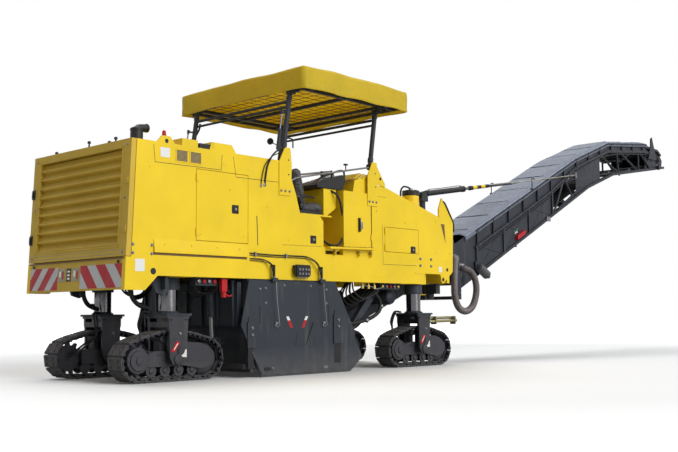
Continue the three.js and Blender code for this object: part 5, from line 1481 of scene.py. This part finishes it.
def boom():
    """The discharge conveyor: girder, belt, rollers and small fittings."""
    girder = Shape()
    dark, steel, inner = 0, 1, 2
    for _, side in SIDES:
        wall0, wall1 = (side * face for face in BOOM_FACE)
        lip = side * 0.436
        strip(girder, 6.47, 13.45, top_at, channel_at, wall0, wall1, dark)
        strip(girder, 6.47, 9.54, channel_at, low_at, wall0, wall1, dark)
        strip(girder, 10.42, 11.38, channel_at, low_at, wall0, wall1, dark)
        strip(girder, 7.08, 13.45, top_at, above(top_at, -0.035), wall0, lip, dark)
        strip(girder, 7.08, 13.3, above(channel_at, 0.022), above(channel_at, -0.022), wall0, lip, dark)
        strip(girder, 7.08, 14.25, above(low_at, 0.055), above(low_at, 0.004),
            side * 0.36, side * 0.432, dark)
        x = 7.12
        while x < 13.3:
            girder.side([(x, channel_at(x)), (x + 0.022, channel_at(x)), (x + 0.022, top_at(x) - 0.01),
                (x, top_at(x) - 0.01)], wall1, lip, dark)
            x += 0.47
        ribs = [7.1, 7.9, 8.7, 9.5]
        for x in ribs:
            girder.side([(x, low_at(x) + 0.03), (x + 0.045, low_at(x) + 0.03), (x + 0.045, channel_at(x)),
                (x, channel_at(x))], wall1, side * 0.43, dark)
        for a, b in zip(ribs, ribs[1:]):
            for first, second in (((a, channel_at), (b, low_at)), ((a, low_at), (b, channel_at))):
                p = at(first[0] + 0.05, side * 0.405, first[1](first[0] + 0.05))
                q = at(second[0], side * 0.405, second[1](second[0]) + 0.03)
                girder.rod(p, q, 0.007, dark, 6)
        braces = ((low_at, 9.6, 0.04, channel_at, 9.98, 0), (low_at, 10.3, 0.04, channel_at, 9.98, 0),
            (low_at, 9.75, 0.05, low_at, 10.6, 0.12), (channel_at, 11.4, 0, low_at, 12.16, 0.03),
            (low_at, 12.16, 0.03, channel_at, 12.1, 0), (channel_at, 12.2, 0, low_at, 13.02, 0.03),
            (low_at, 13.06, 0.03, channel_at, 13.06, 0), (channel_at, 13.1, 0, low_at, 13.6, 0.03))
        for line0, x0, rise0, line1, x1, rise1 in braces:
            foot, tip = line0(x0) + rise0, line1(x1) + rise1
            girder.bar((x0, side * 0.404, foot), (BRACE_TIP if x1 == 13.6 else x1,
                side * 0.404, tip), 0.021, dark, 8)
        strip(girder, 11.36, 13.62, above(channel_at, 0.02), above(channel_at, -0.035),
            wall0, side * 0.43, dark)
        girder.side([(13.4, 3.73), (14.2, 3.86), (14.24, 4.02), (14.12, 4.14), (13.9, 4.2),
            (13.42, 4.22)], side * 0.372, side * 0.388, dark)
        girder.side([(13.42, 4.2), (13.95, 4.18), (14.1, 4.1), (14.14, BELT_CEILING), (13.97, 4.225),
            (13.42, 4.25)], side * 0.37, side * 0.43, dark)
        for x, z in ((13.55, 3.95), (13.75, 4.08), (14.15, 3.96), (13.95, 3.9)):
            girder.side_bolt(side, x, side * 0.388, z, 0.014, steel)
        girder.disc(side, HEAD_X, side * 0.386, 4.02, [(0, 0.09), (0.02, 0.09), (0.024, 0.055),
            (0.05, 0.05)], inner, 24)
        girder.disc(side, PIVOT_X, side * 0.4, PIVOT_Z, [(0, 0.12), (0.014, 0.12),
            (0.02, 0.09)], dark, 28)
        girder.bar((PIVOT_X, side * 0.4, PIVOT_Z), (PIVOT_X, side * 0.478, PIVOT_Z), 0.0295, steel, 20)
        girder.side([(10.18, 3.21), (10.38, 3.21), (10.38, 3.37), (10.18, 3.37)],
            wall1, side * 0.43, dark)
        girder.slab((10.302, side * 0.42, 3.24), (10.35, side * 0.47, 3.34), steel)
        for i in range(15):
            x = 7.2 + i * 0.41
            girder.side_bolt(side, x, lip, channel_at(x), 0.008, steel)
        girder.pipe([at(x, side * 0.415, channel_at(x) - 0.055 - 0.008 * (i % 2)) for i,
            x in enumerate([7.12, 7.4, 7.8, 8.4, 9.0, 9.6, 10.2, 10.8, 11.4, 12.0, 12.6,
            13.2, 13.6])], 0.012, inner, 8)
        girder.pipe([at(x, side * 0.418, channel_at(x) - 0.1)
            for x in (7.12, 7.5, 8.2, 9.0, 9.45)], 0.009, inner, 8)
    girder.side([(13.47, 3.97), (13.86, 3.99), (13.7, 4.38), (13.676, 4.458), (13.656, 4.458),
        (13.63, 4.36)], -0.446, -0.436, dark)
    girder.side([(13.6, 4.02), (13.73, 4.02), (13.68, 4.44), (13.66, 4.44)], -0.436, -0.405, dark)
    x = 6.9
    while x < 14.1:
        girder.side([(x, low_at(x) + 0.005), (x + 0.05, low_at(x) + 0.03), (x + 0.05, low_at(x) + 0.07),
            (x, low_at(x) + 0.045)], -0.4, 0.4, dark)
        x += 0.62
    strip(girder, 6.8, 9.4, above(low_at, 0.012), above(low_at, 0.004), -0.37, 0.37, dark)
    made = piece("boom_frame", girder, "discharge_conveyor",
        tones("boom steel black"), bevel=0.0015)
    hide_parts("discharge_conveyor_frame")

    belt = Shape()
    cross = [(-0.35, 0.1), (-0.19, 0.0), (0.19, 0.0), (0.35, 0.1), (0.35, 0.112), (0.19, 0.012),
        (-0.19, 0.012), (-0.35, 0.112)]
    xs = stations(7.05, HEAD_X, 0.25)
    depth = BELT_DEPTH
    for a, b in zip(xs, xs[1:]):
        for (y0, z0), (y1, z1) in zip(cross, cross[1:] + cross[:1]):
            flat_a = 1.0 if a < 13.5 else max(0.0, (HEAD_X - a) / 0.52)
            flat_b = 1.0 if b < 13.5 else max(0.0, (HEAD_X - b) / 0.52)
            top_a, top_b = min(top_at(a) - depth, BELT_CEILING), min(top_at(b) - depth, BELT_CEILING)
            belt.add([at(a, y0, top_a + z0 * flat_a), at(b, y0, top_b + z0 * flat_b),
                at(b, y1, top_b + z1 * flat_b), at(a, y1, top_a + z1 * flat_a)], [[0, 1, 2, 3]])
    strip(belt, 7.05, 13.9, above(low_at, 0.125), above(low_at, 0.113), -0.34, 0.34)
    x = 7.15
    while x < 13.9:
        z = min(top_at(x) - depth, BELT_CEILING) + 0.0125
        belt.side([(x, z), (x + 0.02, z + 0.008), (x + 0.02, z + 0.028), (x, z + 0.022)], -0.18, 0.18)
        x += 0.31
    belt.disc(1, HEAD_X, -0.345, HEAD_Z, [(0, 0.142), (0.69, 0.142)], 0, 32)
    piece("conveyor_belt", belt, "discharge_conveyor", tones("rubber"))

    rollers = Shape()
    x = 7.25
    while x < 13.4:
        z = top_at(x) - depth - 0.04
        rollers.disc(1, x, -0.19, z, [(0, 0.03), (0, 0.038), (0.38, 0.038), (0.38, 0.03)], 0, 14)
        for _, side in SIDES:
            rollers.turned(at(x + 0.05, side * 0.2, z + 0.01), (0, side * 0.84, 0.53),
                [(0, 0.036), (0.19, 0.036)], 0, 14)
        rollers.disc(1, x + 0.1, -0.37, low_at(x + 0.1) + 0.078, [(0, 0.012), (0.02, 0.012),
            (0.02, 0.033), (0.72, 0.033), (0.72, 0.012), (0.74, 0.012)], 0, 14)
        x += 0.9
    rollers.disc(1, HEAD_X, -0.36, HEAD_Z, [(0, 0.05), (0.02, 0.13), (0.7, 0.13), (0.72, 0.05)], 0, 32)
    rollers.disc(1, 7.05, -0.36, low_at(7.05) + 0.19, [(0, 0.05), (0.02, 0.07),
        (0.7, 0.07), (0.72, 0.05)], 0, 24)
    rollers.disc(1, HEAD_X, 0.386, HEAD_Z, [(0, 0.1), (0.06, 0.1), (0.07, 0.07),
        (0.16, 0.065), (0.17, 0.04)], 1, 28)
    rollers.slab((14.16, -0.36, 3.88), (14.19, 0.36, 4.02), 1)
    rollers.side([(14.17, 3.855), (14.3, 3.875), (14.3, 3.885), (14.17, 3.88)], -0.36, 0.36, 1)
    for i in range(4):
        rollers.slab((13.5 + 0.13 * i, -0.38, 3.78 + 0.015 * i), (13.53 + 0.13 * i,
            0.38, 3.84 + 0.015 * i), 1)
    piece("boom_rollers", rollers, "discharge_conveyor", tones("steel boom"))

    extras = Shape()
    dark, steel, red, green, white, grey = 0, 1, 2, 3, 4, 5
    extras.turned(at(7.08, -0.475, 1.475), (0.83, -0.08, -0.52), [(0, 0.05), (0.01, 0.072), (0.24, 0.074),
        (0.25, 0.055), (0.3, 0.03)], grey, 24)
    extras.slab((7.05, -0.44, 1.4), (7.2, -0.404, 1.56), dark)
    slope = Vector((0.906, 0, 0.423))
    for z, tone, length in ((2.105, green, 0.13), (2.075, white, 0.1), (1.975, red, 0.27)):
        foot = at(8.26 + 0.3 * (2.105 - z), -0.405, z)
        high = Vector((0, 0, 0.075 if tone == red else 0.018))
        reach = Vector((0, -0.05 if tone == red else -0.006, 0))
        ring = [foot, foot + slope * length, foot + slope * length + high, foot + high]
        extras.prism(ring, [v + reach for v in ring], tone)
    for side in (-1, 1):
        y = side * 0.425
        extras.hose_at(y, [(8.84, 2.9), (8.84, 3.055), (8.84, 3.085), (8.9, 3.09),
            (8.93, 3.075)], 0.009, dark, 10, 4)
        extras.slab((8.81, y - 0.015, 2.875), (8.87, y + 0.015, 2.91), dark)
        extras.turned(at(13.9, side * 0.43, 3.83), (0.3, side, 0), [(-0.04, 0.02), (0.02, 0.05),
            (0.05, 0.052), (0.052, 0.045)], dark, 20)
    extras.slab((9.3, -0.436, low_at(9.3) + 0.01), (9.42, -0.404, low_at(9.3) + 0.09), steel)
    extras.bar((8.3, -0.4, low_at(8.3) - 0.03), (8.3, -0.4, low_at(8.3) + 0.03), 0.022, dark)
    extras.bar((12.2, -0.4, low_at(12.2) - 0.015), (12.2, -0.4, low_at(12.2) + 0.03), 0.02, steel)
    piece("boom_fittings", extras, "discharge_conveyor",
        tones("boom steel red green white grey"), bevel=0.002)


def cover_sheet():
    """The conveyor's cover: one sheet over its bows, with its sides turned down."""
    x0, x1 = 6.8, 13.45
    lengthwise = 134
    rows = []
    across = 22
    for i in range(lengthwise + 1):
        x = x0 + (x1 - x0) * i / lengthwise
        bow = abs(math.sin(math.pi * (x - x0) / 0.83))
        row = []
        for k in range(across + 1):
            y = -COVER_HALF + 2 * COVER_HALF * k / across
            rise = min(1.0, (COVER_HALF - abs(y)) / 0.1)
            slack = 0.01 * (1 - bow) * rise * (1 - (y / COVER_HALF) ** 2)
            ripple = 0.0022 * math.sin(9 * x + 14 * y) * math.sin(5.3 * x - 4 * y)
            row.append(at(x, y, top_at(x) + 0.008 + 0.046 * rise - slack + ripple))
        for drop, out in ((0.02, 0.005), (0.045, 0.0065), (0.07, 0.006)):
            flutter = 0.0015 * math.sin(11 * x + drop * 60)
            row.insert(0, at(x, -COVER_HALF - out + flutter, top_at(x) + 0.008 - drop))
            row.append(at(x, COVER_HALF + out - flutter, top_at(x) + 0.008 - drop))
        rows.append(row)
    n = len(rows[0])
    corners = ((0, 0), (1, 0), (1, 1), (0, 1))
    faces = [[(i + a) * n + k + b for a, b in corners] for i in range(lengthwise) for k in range(n - 1)]
    mesh = mesh_of("conveyor_cover_sheet", [v for row in rows for v in row], faces)
    obj = sheet_object("conveyor_cover_sheet", mesh, cloth["cover"], 0.003)
    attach(obj, "discharge_conveyor")
    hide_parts("conveyor_cover")
    straps = Shape()
    for _, side in SIDES:
        strip(straps, 6.84, 13.4, above(top_at, 0.0125), above(top_at, 0.0095),
            side * 0.4, side * 0.429, 2)
        for i in range(11):
            foot = 7.0 + 0.6 * i
            straps.side([(foot, top_at(foot) + 0.052), (foot + 0.02, top_at(foot + 0.02) + 0.052),
                (foot + 0.02, top_at(foot + 0.02) + 0.058), (foot, top_at(foot) + 0.058)], -0.32, 0.32, 2)
    x = 7.2
    while x < 13.3:
        for _, side in SIDES:
            straps.slab((x, side * 0.4325, top_at(x) - 0.062), (x + 0.03,
                side * 0.4345, top_at(x) - 0.02))
            straps.disc(side, x + 0.015, side * 0.4335, top_at(x) - 0.03,
                [(0, 0.01), (0.003, 0.009)], 1, 12)
        x += 0.6
    tabs = piece("cover_straps", straps, "discharge_conveyor",
        [cloth["cover"], paint["steel"], cloth["hem"]])


def slew_fittings():
    """Duct, bolts and hoses of the slewing frame and of the bulkhead behind it."""
    fit = Shape()
    dark, steel, rubber, brown = 0, 1, 2, 4
    line = smooth_line([at(6.4, -0.5, 1.56), at(6.33, -0.56, 1.5), at(6.24, -0.61, 1.3),
        at(6.22, -0.62, 1.02), at(6.31, -0.62, 0.83), at(6.49, -0.62, 0.765), at(6.68, -0.62, 0.84),
        at(6.8, -0.61, 1.03), at(6.81, -0.6, 1.22), at(6.74, -0.57, 1.37), at(6.62, -0.5, 1.44)], 16)
    fit.pipe(line, 0.054, brown, 20, 1, waist=0.9)
    for place, facing in ((at(6.42, -0.474, 1.575), (0.2, 1, 0.1)),
            (at(6.6, -0.474, 1.452), (-0.3, 1, 0.1))):
        fit.turned(place, facing, [(-0.05, 0.062), (0.0, 0.062), (0.0, 0.075), (0.01, 0.075)], steel, 24)
    for _, side in SIDES:
        cheek = side * 0.4735
        for x, z in ((6.45, 1.05), (6.57, 1.05), (6.45, 1.6), (6.36, 1.85), (6.28, 2.02)):
            fit.side_bolt(side, x, cheek, z, 0.014, steel)
        fit.disc(side, PIVOT_X, cheek, PIVOT_Z, [(0.006, 0.075), (0.022, 0.075), (0.026, 0.05)], dark, 28)
        for c, s in circle(8):
            fit.side_bolt(side, PIVOT_X + 0.06 * c, side * 0.4955, PIVOT_Z + 0.06 * s, 0.006, steel)
        fit.hose([(6.2, side * 0.3, 2.0), (6.12, side * 0.42, 1.9), (6.16, side * 0.5, 1.7),
            (6.34, side * 0.505, 1.5), (6.44, side * 0.5, 1.3)], 0.014, rubber, 10)
        fit.hose([(6.22, side * 0.26, 1.99), (6.09, side * 0.36, 1.84), (6.12, side * 0.5, 1.6),
            (6.26, side * 0.51, 1.36), (6.4, side * 0.5, 1.16)], 0.011, rubber, 10)
    fit.slab((6.1, -0.2, 1.905), (6.19, 0.2, 1.985), dark)
    for i in range(5):
        fit.turned(at(6.1, -0.16 + 0.08 * i, 1.945), (-1, 0, 0), [(0, 0.02), (0.02, 0.018),
            (0.024, 0.01)], steel, 12)
    fit.bar((6.25, 0, 2.06), (6.25, 0, 2.14), 0.075, steel, 28)
    piece("slew_fittings", fit, "conveyor_slew",
        tones("slate steel rubber grey duct"), bevel=0.0015)

    rams = Shape()
    for _, side in SIDES:
        rams.turned(at(5.7, side * 0.6, 2.105), (1, 0, 0), [(0, 0.06),
            (0.03, 0.06), (0.035, 0.03)], 0, 20)
        rams.slab((5.7, side * 0.42, 1.6), (5.725, side * 0.86, 1.98))
        for i in range(4):
            rams.hose([(5.7, side * (0.45 + 0.09 * i), 1.6), (5.79 + 0.01 * i, side * (0.45 + 0.09 * i),
                1.5), (5.8, side * (0.46 + 0.085 * i), 1.3), (5.7, side * (0.46 + 0.08 * i), 1.14)],
                0.012 + 0.003 * (i % 2), 1, 8)
        rams.slab((5.62, side * 0.42, 1.02), (5.72, side * 0.72, 1.16))
        rams.turned(at(5.67, side * 0.57, 1.02), (0, 0, -1), [(0, 0.06),
            (0.07, 0.058), (0.08, 0.03)], 0, 20)
    piece("bulkhead_fittings", rams, "root", tones("slate rubber"), bevel=0.002)


# ---------------------------------------------------------------- suspension
def suspension():
    """Collars and pipe of the suspension barrel, and its rod with the spreader and ropes."""
    foot = at(6.25, 0, 2.62)
    reach = at(10.29, 0, 3.29) - foot
    ahead = reach.normalized()
    barrel = Shape()
    barrel.turned(foot + ahead * 1.1, ahead, [(0, 0.0452), (0.002, 0.051),
        (0.045, 0.051), (0.05, 0.04)], 0, 28)
    barrel.turned(foot + ahead * 0.1, ahead, [(0, 0.0455), (0.002, 0.052), (0.04, 0.052),
        (0.042, 0.0455)], 0, 28)
    up = Vector((-ahead.z, 0, ahead.x))
    for d in (0.18, 1.06):
        barrel.turned(foot + ahead * d + up * 0.04, up, [(0, 0.016), (0.022, 0.016),
            (0.025, 0.01)], 1, 12)
    barrel.pipe([foot + ahead * 1.06 + up * 0.06, foot + ahead * 0.95 + up * 0.062,
        foot + ahead * 0.5 + up * 0.058, foot + ahead * 0.2 + up * 0.062], 0.007, 1, 8)
    piece("barrel_fittings", barrel, "suspension_barrel", tones("black steel"))

    rod = Shape()
    chrome, black, yellow, steel, rope = 0, 1, 2, 3, 4
    spread_at = (8.15 - 6.25) / ahead.x
    end_at = reach.length
    rod.rod(foot + ahead * 0.26, foot + ahead * 1.33, 0.0215, chrome, 24)
    rod.turned(foot + ahead * 1.3, ahead, [(0, 0.022), (0.01, 0.038), (0.09, 0.038),
        (0.1, 0.026)], black, 20)
    for i in range(4):
        tone = (yellow, black)[i % 2]
        step = (spread_at - 1.44) / 4
        start = foot + ahead * (1.4 + i * step)
        rod.turned(start, ahead, [(0, 0.027), (0.004, 0.03), (step - 0.004, 0.03),
            (step, 0.027)], tone, 18)
    cross = foot + ahead * spread_at
    rod.turned(cross - Vector((0, 0.465, 0)), (0, 1, 0), [(0, 0.02), (0.006, 0.026), (0.924, 0.026),
        (0.93, 0.02)], steel, 20)
    for _, side in SIDES:
        shift = Vector((0, side * 0.45, 0))
        rod.turned(cross + shift, ahead, [(0, 0.016), (0.012, 0.021), (0.15, 0.017),
            (0.19, 0.012)], steel, 14)
        rod.turned(foot + ahead * (end_at - 0.17) + shift, ahead, [(0, 0.012), (0.05, 0.018),
            (0.165, 0.02), (0.17, 0.012)], steel, 14)
        strands = 3
        length = end_at - spread_at
        turns = length / 0.11
        count = int(turns * 10)
        for k in range(strands):
            line = []
            for i in range(count + 1):
                share = i / count
                t = 2 * math.pi * (turns * share + k / strands)
                across = Vector((0, math.cos(t), 0)) + up * math.sin(t)
                line.append(cross + shift + ahead * length * share * 0.995 + across * 0.0052)
            rod.pipe(line, 0.0052, rope, 6, 1)
    made = piece("rod_and_ropes", rod, "suspension_rod",
        tones("chrome black yellow steel rope"))
    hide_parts("suspension_rod")


# -------------------------------------------------------------------- canopy
def canopy_sheet():
    """One tarpaulin: a crowned top that turns down into a valance at its rounded edge."""
    x0, x1 = CANOPY
    half_x, half_y = (x1 - x0) / 2, CANOPY_HALF
    middle = (x0 + x1) / 2
    nx, ny = 44, 44
    top = {}
    for i in range(nx + 1):
        for k in range(ny + 1):
            a, b = 2 * i / nx - 1, 2 * k / ny - 1
            x = a * (half_x - 0.004) * math.sqrt(1 - 0.02 * b ** 8)
            y = b * (half_y - 0.004) * math.sqrt(1 - 0.02 * a ** 8)
            edge = max(abs(a), abs(b))
            turn = max(0.0, (edge - 0.93) / 0.07)
            rise = CANOPY_EDGE - 0.012 + (CANOPY_CROWN - CANOPY_EDGE + 0.006) * (1 - a
                * a) * (1 - b * b) ** 0.5
            bay = abs(math.sin(math.pi * 2 * (a + 1)))
            sag = 0.014 * bay * (1 - b * b)
            pucker = 0.004 * math.sin(10 * a + 3 * b) * math.sin(8 * b - 2 * a)
            rim_wave = 0.01 * edge ** 6 * math.sin(7.3 * a + 2.0 * b) * math.sin(5.1 * b + 1.4 * a)
            top[i, k] = at(middle + x, y, rise - sag + pucker + rim_wave - 0.02 * turn ** 2)
    ring = [(i, 0) for i in range(nx)] + [(nx, k) for k in range(ny)]
    ring += [(i, ny) for i in range(nx, 0, -1)] + [(0, k) for k in range(ny, 0, -1)]
    verts = []
    index = {}
    for key, place in top.items():
        index[key] = len(verts)
        verts.append(place)
    faces = [[index[i, k], index[i + 1, k], index[i + 1, k + 1], index[i, k + 1]]
        for i in range(nx) for k in range(ny)]
    previous = [index[key] for key in ring]
    drops = [0.012, 0.035, 0.065, 0.1, 0.135, 0.17, 0.19, 0.205]
    for drop in drops:
        current = []
        for m, key in enumerate(ring):
            start = top[key]
            out = Vector((start.x - at(middle, 0, 0).x, start.y, 0))
            side_on = abs(out.x) / half_x > abs(out.y) / half_y
            facing = Vector((math.copysign(1, out.x), 0, 0)) if side_on else Vector((0,
                math.copysign(1, out.y), 0))
            corner = max(0.0, min(abs(out.x) / half_x, abs(out.y) / half_y) - 0.8) / 0.2
            depth = drop / drops[-1]
            wave = 0.5 + 0.5 * math.sin(m * 0.63 + 1.7 * math.sin(m * 0.11))
            crease = corner * (0.5 + 0.5 * math.sin(m * 2.3 + 4 * depth))
            push = 0.004 + depth * (0.006 + 0.012 * wave) + 0.016 * crease * math.sin(math.pi
                * min(1.0, depth + 0.15))
            low_edge = CANOPY_RIM - 0.022 + 0.012 * math.sin(m * 0.205) ** 2 * (1 - corner)
            place = start + facing * push
            place.z = start.z + (low_edge - start.z) * depth
            current.append(len(verts))
            verts.append(place)
        for m in range(len(ring)):
            j = (m + 1) % len(ring)
            faces.append([previous[m], current[m], current[j], previous[j]])
        previous = current
    mesh = mesh_of("canopy_tarpaulin", verts, faces)
    obj = sheet_object("canopy_tarpaulin", mesh, cloth["canopy"], 0.0025)
    mesh.update()
    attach(obj, "canopy")
    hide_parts("canopy_cover")
    hem = Shape()
    rim = [verts[i] - Vector((0, 0, 0.001)) for i in previous]
    hem.pipe(rim, 0.0045, 0, 6, 1, True)
    band = piece("canopy_hem", hem, "canopy", [cloth["canopy"]])


def canopy_gear():
    """Mesh, gussets, post fittings and lamp under the tarpaulin."""
    grid = Shape()
    dark, wire = 0, 1
    x0, x1 = CANOPY[0] + 0.06, CANOPY[1] - 0.06
    z = 3.5655
    count = 12
    for i in range(count + 1):
        x = x0 + (x1 - x0) * i / count
        grid.bar((x, -1.14, z), (x, 1.14, z), 0.0034, wire, 6)
    for k in range(16):
        y = -1.14 + 2.28 * k / 15
        grid.bar((x0, y, z + 0.005), (x1, y, z + 0.005), 0.0034, wire, 6)
    for _, side in SIDES:
        for x in (2.45, 4.07):
            y = side * 0.967
            grid.side([(x - 0.02, 3.525), (x + 0.16, 3.525), (x + 0.05, 3.47), (x - 0.02, 3.47)],
                y - 0.011, y + 0.011, dark)
            grid.side_bolt(side, x + 0.1, y + side * 0.011, 3.512, 0.009, dark)
    piece("canopy_mesh", grid, "canopy", tones("slate wire"))

    for end, foot_x in (("rear", 2.33), ("front", 3.95)):
        body = f"canopy_posts_{end}"
        gear = Shape()
        for _, side in SIDES:
            y = side * 0.905
            lean = Vector((0.12, 0, 0.775)).normalized()
            pivot = at(foot_x, y, 2.7)
            gear.turned(pivot + lean * 0.06, lean, [(0, 0.033), (0.005, 0.039),
                (0.06, 0.039), (0.065, 0.033)], 0, 20)
            gear.turned(pivot + lean * 0.68, lean, [(0, 0.033), (0.005, 0.038),
                (0.04, 0.038), (0.045, 0.033)], 0, 20)
            gear.pipe([pivot + lean * 0.48 + Vector((0.03, 0, 0)), pivot + lean * 0.56
                + Vector((0.05, -side * 0.02, 0)), pivot + lean * 0.64
                + Vector((0.045, -side * 0.03, 0))], 0.013, 0, 10)
            if end == "rear":
                ram = pivot + Vector((-0.1, side * 0.012, 0.02))
                gear.turned(ram, lean, [(0, 0.012), (0.01, 0.024), (0.26, 0.024), (0.27, 0.016)], 0, 18)
                gear.rod(ram + lean * 0.26, ram + lean * 0.47, 0.01, 1, 14)
                head = ram + lean * 0.46
                gear.turned(head, lean, [(0, 0.012), (0.008, 0.018), (0.05, 0.018),
                    (0.055, 0.012)], 0, 14)
                gear.rod(head + lean * 0.03, head + lean * 0.03
                    + Vector((0.1, -side * 0.012, 0.0)), 0.012, 0, 10)
                gear.rod(ram + lean * 0.01, ram + lean * 0.01 + Vector((0.1, -side
                    * 0.012, 0.0)), 0.012, 0, 10)
                hook = pivot + lean * 0.16
                gear.pipe([hook, hook + Vector((0.06, 0, 0.03)), hook + Vector((0.13, 0, 0.03)),
                    hook + Vector((0.145, 0, 0.0)), hook + Vector((0.145, 0, -0.08))], 0.009, 0, 8, 4)
            gear.bolt(at(foot_x, y - side * 0.034, 2.7), (0, -side, 0), 0.02, 1)
        gear.bar((foot_x + 0.102, -0.9, 3.285), (foot_x + 0.102, 0.9, 3.285), 0.016)
        piece(f"post_fittings_{end}", gear, body, tones("slate chrome"))

    lamp = Shape()
    lamp.hose_at(0.885, [(4.03, 3.22), (3.96, 3.22), (3.86, 3.24), (3.81, 3.25)], 0.008, 0, 8, 3)
    lamp.turned(at(3.8, 0.885, 3.262), (-1, -0.3, 0), [(-0.03, 0.014), (-0.018, 0.04), (0.01, 0.05),
        (0.024, 0.048), (0.026, 0.04)], 0, 20)
    piece("post_lamp", lamp, "canopy_posts_front", tones("black"))


def housing_trim():
    """Arms, hoses, ribs and rams around the drum housing."""
    trim = Shape()
    slate, steel, rubber = 0, 1, 2
    for _, side in SIDES:
        for x in (3.66, 3.8):
            trim.bar((x, side * 0.34, 0.66), (x + 0.9, side * 0.34, 1.06), 0.028, slate)
        trim.hose([(3.6, side * 0.52, 0.6), (3.85, side * 0.52, 0.58), (4.05, side * 0.5, 0.66),
            (4.22, side * 0.48, 0.86), (4.26, side * 0.48, 1.12)], 0.026, rubber, 12)
        trim.hose([(3.6, side * 0.58, 0.54), (3.9, side * 0.58, 0.53), (4.12, side * 0.56, 0.62),
            (4.3, side * 0.53, 0.86), (4.34, side * 0.53, 1.12)], 0.02, rubber, 12)
        trim.side([(3.52, 0.3), (3.62, 0.3), (4.46, 1.15), (4.3, 1.15)], side * 0.62, side * 0.7, slate)
        for z in (0.4, 0.6):
            trim.slab((3.4, side * 0.7, z), (3.545, side * 0.92, z + 0.03), slate)
    trim.side([(1.6, 1.1), (1.66, 1.1), (1.66, 0.6), (1.6, 0.6)], -0.9, 0.9, slate)
    for i in range(7):
        y = -0.84 + i * 0.28
        trim.side([(1.56, 1.12), (1.6, 1.12), (1.6, 0.62), (1.58, 0.58)], y - 0.01, y + 0.01, slate)
        trim.bolt(at(1.6, y + 0.07, 1.0), (-1, 0, 0), 0.014, steel)
    for y in (-0.5, 0.5):
        trim.bar((1.52, y, 1.12), (1.545, y, 0.7), 0.045, slate, 20)
        trim.bar((1.545, y, 0.7), (1.56, y, 0.45), 0.026, steel, 16)
        trim.slab((1.53, y - 0.06, 0.38), (1.66, y + 0.06, 0.46), slate)
    trim.slab((1.655, -0.95, 0.1), (1.715, 0.95, 0.16), slate)
    piece("housing_fittings", trim, "root", tones("slate steel rubber"), bevel=0.002)


seats()
station()
front_body()
boom()
cover_sheet()
slew_fittings()
suspension()
canopy_sheet()
canopy_gear()
housing_trim()


# ------------------------------------------------------------ camera and light
CAMERA_PLACE = (-12.929, -9.34, 0.685)
CAMERA_YAW = 47.2          # degrees from +Y toward +X
CAMERA_PITCH = 5.41
CAMERA_ROLL = -0.42
CAMERA_LENS = 51.22


def add_camera():
    data = bpy.data.cameras.new("photo_view")
    camera = placed("photo_view", data)
    data.lens = CAMERA_LENS
    data.sensor_width = 36
    data.clip_end = 400
    camera.location = CAMERA_PLACE
    turn = (Matrix.Rotation(math.radians(-CAMERA_YAW), 4, "Z") @ Matrix.Rotation(math.radians(90
        + CAMERA_PITCH), 4, "X") @ Matrix.Rotation(math.radians(CAMERA_ROLL), 4, "Z"))
    camera.rotation_euler = turn.to_euler()
    bpy.context.scene.camera = camera


def add_world():
    """White for what the camera sees and what glosses mirror, and a soft blue-white fill for the rest."""
    world = bpy.data.worlds.new("studio")
    bpy.context.scene.world = world
    world.use_nodes = True
    tree = world.node_tree
    tree.nodes.clear()
    path = node(tree, "LightPath")
    seen = joined(tree, "MAXIMUM", path, "Is Camera Ray", path, "Is Glossy Ray")
    clear = joined(tree, "MAXIMUM", seen, 0, path, "Is Transmission Ray")
    soft = node(tree, "Background", {"Color": (0.93, 0.96, 1.0, 1), "Strength": 0.2})
    white = node(tree, "Background", {"Color": (1, 1, 1, 1), "Strength": 1.0})
    link(tree, blended(tree, clear, soft, white), 0, node(tree, "OutputWorld"), 0)


def add_sun(name, toward, strength, spread_angle):
    data = bpy.data.lights.new(name, "SUN")
    data.energy = strength
    data.angle = math.radians(spread_angle)
    placed(name, data).rotation_euler = (-Vector(toward)).to_track_quat("Z", "Y").to_euler()


def path_tone(tree, path, shader):
    """The floor's two pale tones for the camera, and a dimmer one for what it throws back."""
    pale = node(tree, "Mix", {6: (0.82, 0.82, 0.82, 1), 7: (0.79, 0.79, 0.79, 1)}, data_type="RGBA")
    seen = node(tree, "Mix", {6: (0.45, 0.45, 0.45, 1)}, data_type="RGBA")
    link(tree, path, "Is Camera Ray", seen, "Factor")
    link(tree, pale, 2, seen, 7)
    link(tree, seen, 2, shader, "Base Color")
    return pale


def add_floor():
    """A pale round floor that turns to the white of the background far from the machine."""
    radius = 90.0
    floor = Shape()
    floor.turned(Vector((0, 0, -0.002)), (0, 0, 1), [(-0.01, radius), (0, radius)], 0, 64)
    mesh = mesh_of("floor", floor.verts, floor.faces)
    obj = placed("floor", mesh)
    material, tree, shader = nodes_of("pale_floor")
    place = node(tree, "TexCoord")
    tone = noise(tree, place, 0.8, 4.0)
    path = node(tree, "LightPath")
    link(tree, tone, 0, path_tone(tree, path, shader), "Factor")
    preset(shader, {"Roughness": 0.9, "Specular IOR Level": 0.1})
    length = node(tree, "VectorMath", operation="LENGTH")
    link(tree, place, "Object", length, "Vector")
    fade = spread(tree, length, "Value", 8.0, 20.0, 0.02, 1.0)
    seen = joined(tree, "MULTIPLY", fade, 0, path, "Is Camera Ray")
    glow = node(tree, "Emission", {"Strength": 1.6})
    link(tree, blended(tree, seen, shader, glow), 0, tree.nodes["Material Output"], 0)
    mesh.materials.append(material)


finish_nodes()
add_camera()
add_world()
add_sun("key", (-0.12, 0.88, -0.45), 2.5, 50)
add_sun("overhead", (-0.06, -0.32, -1.0), 1.95, 42)
add_floor()

scene = bpy.context.scene
scene.view_settings.view_transform = "Standard"
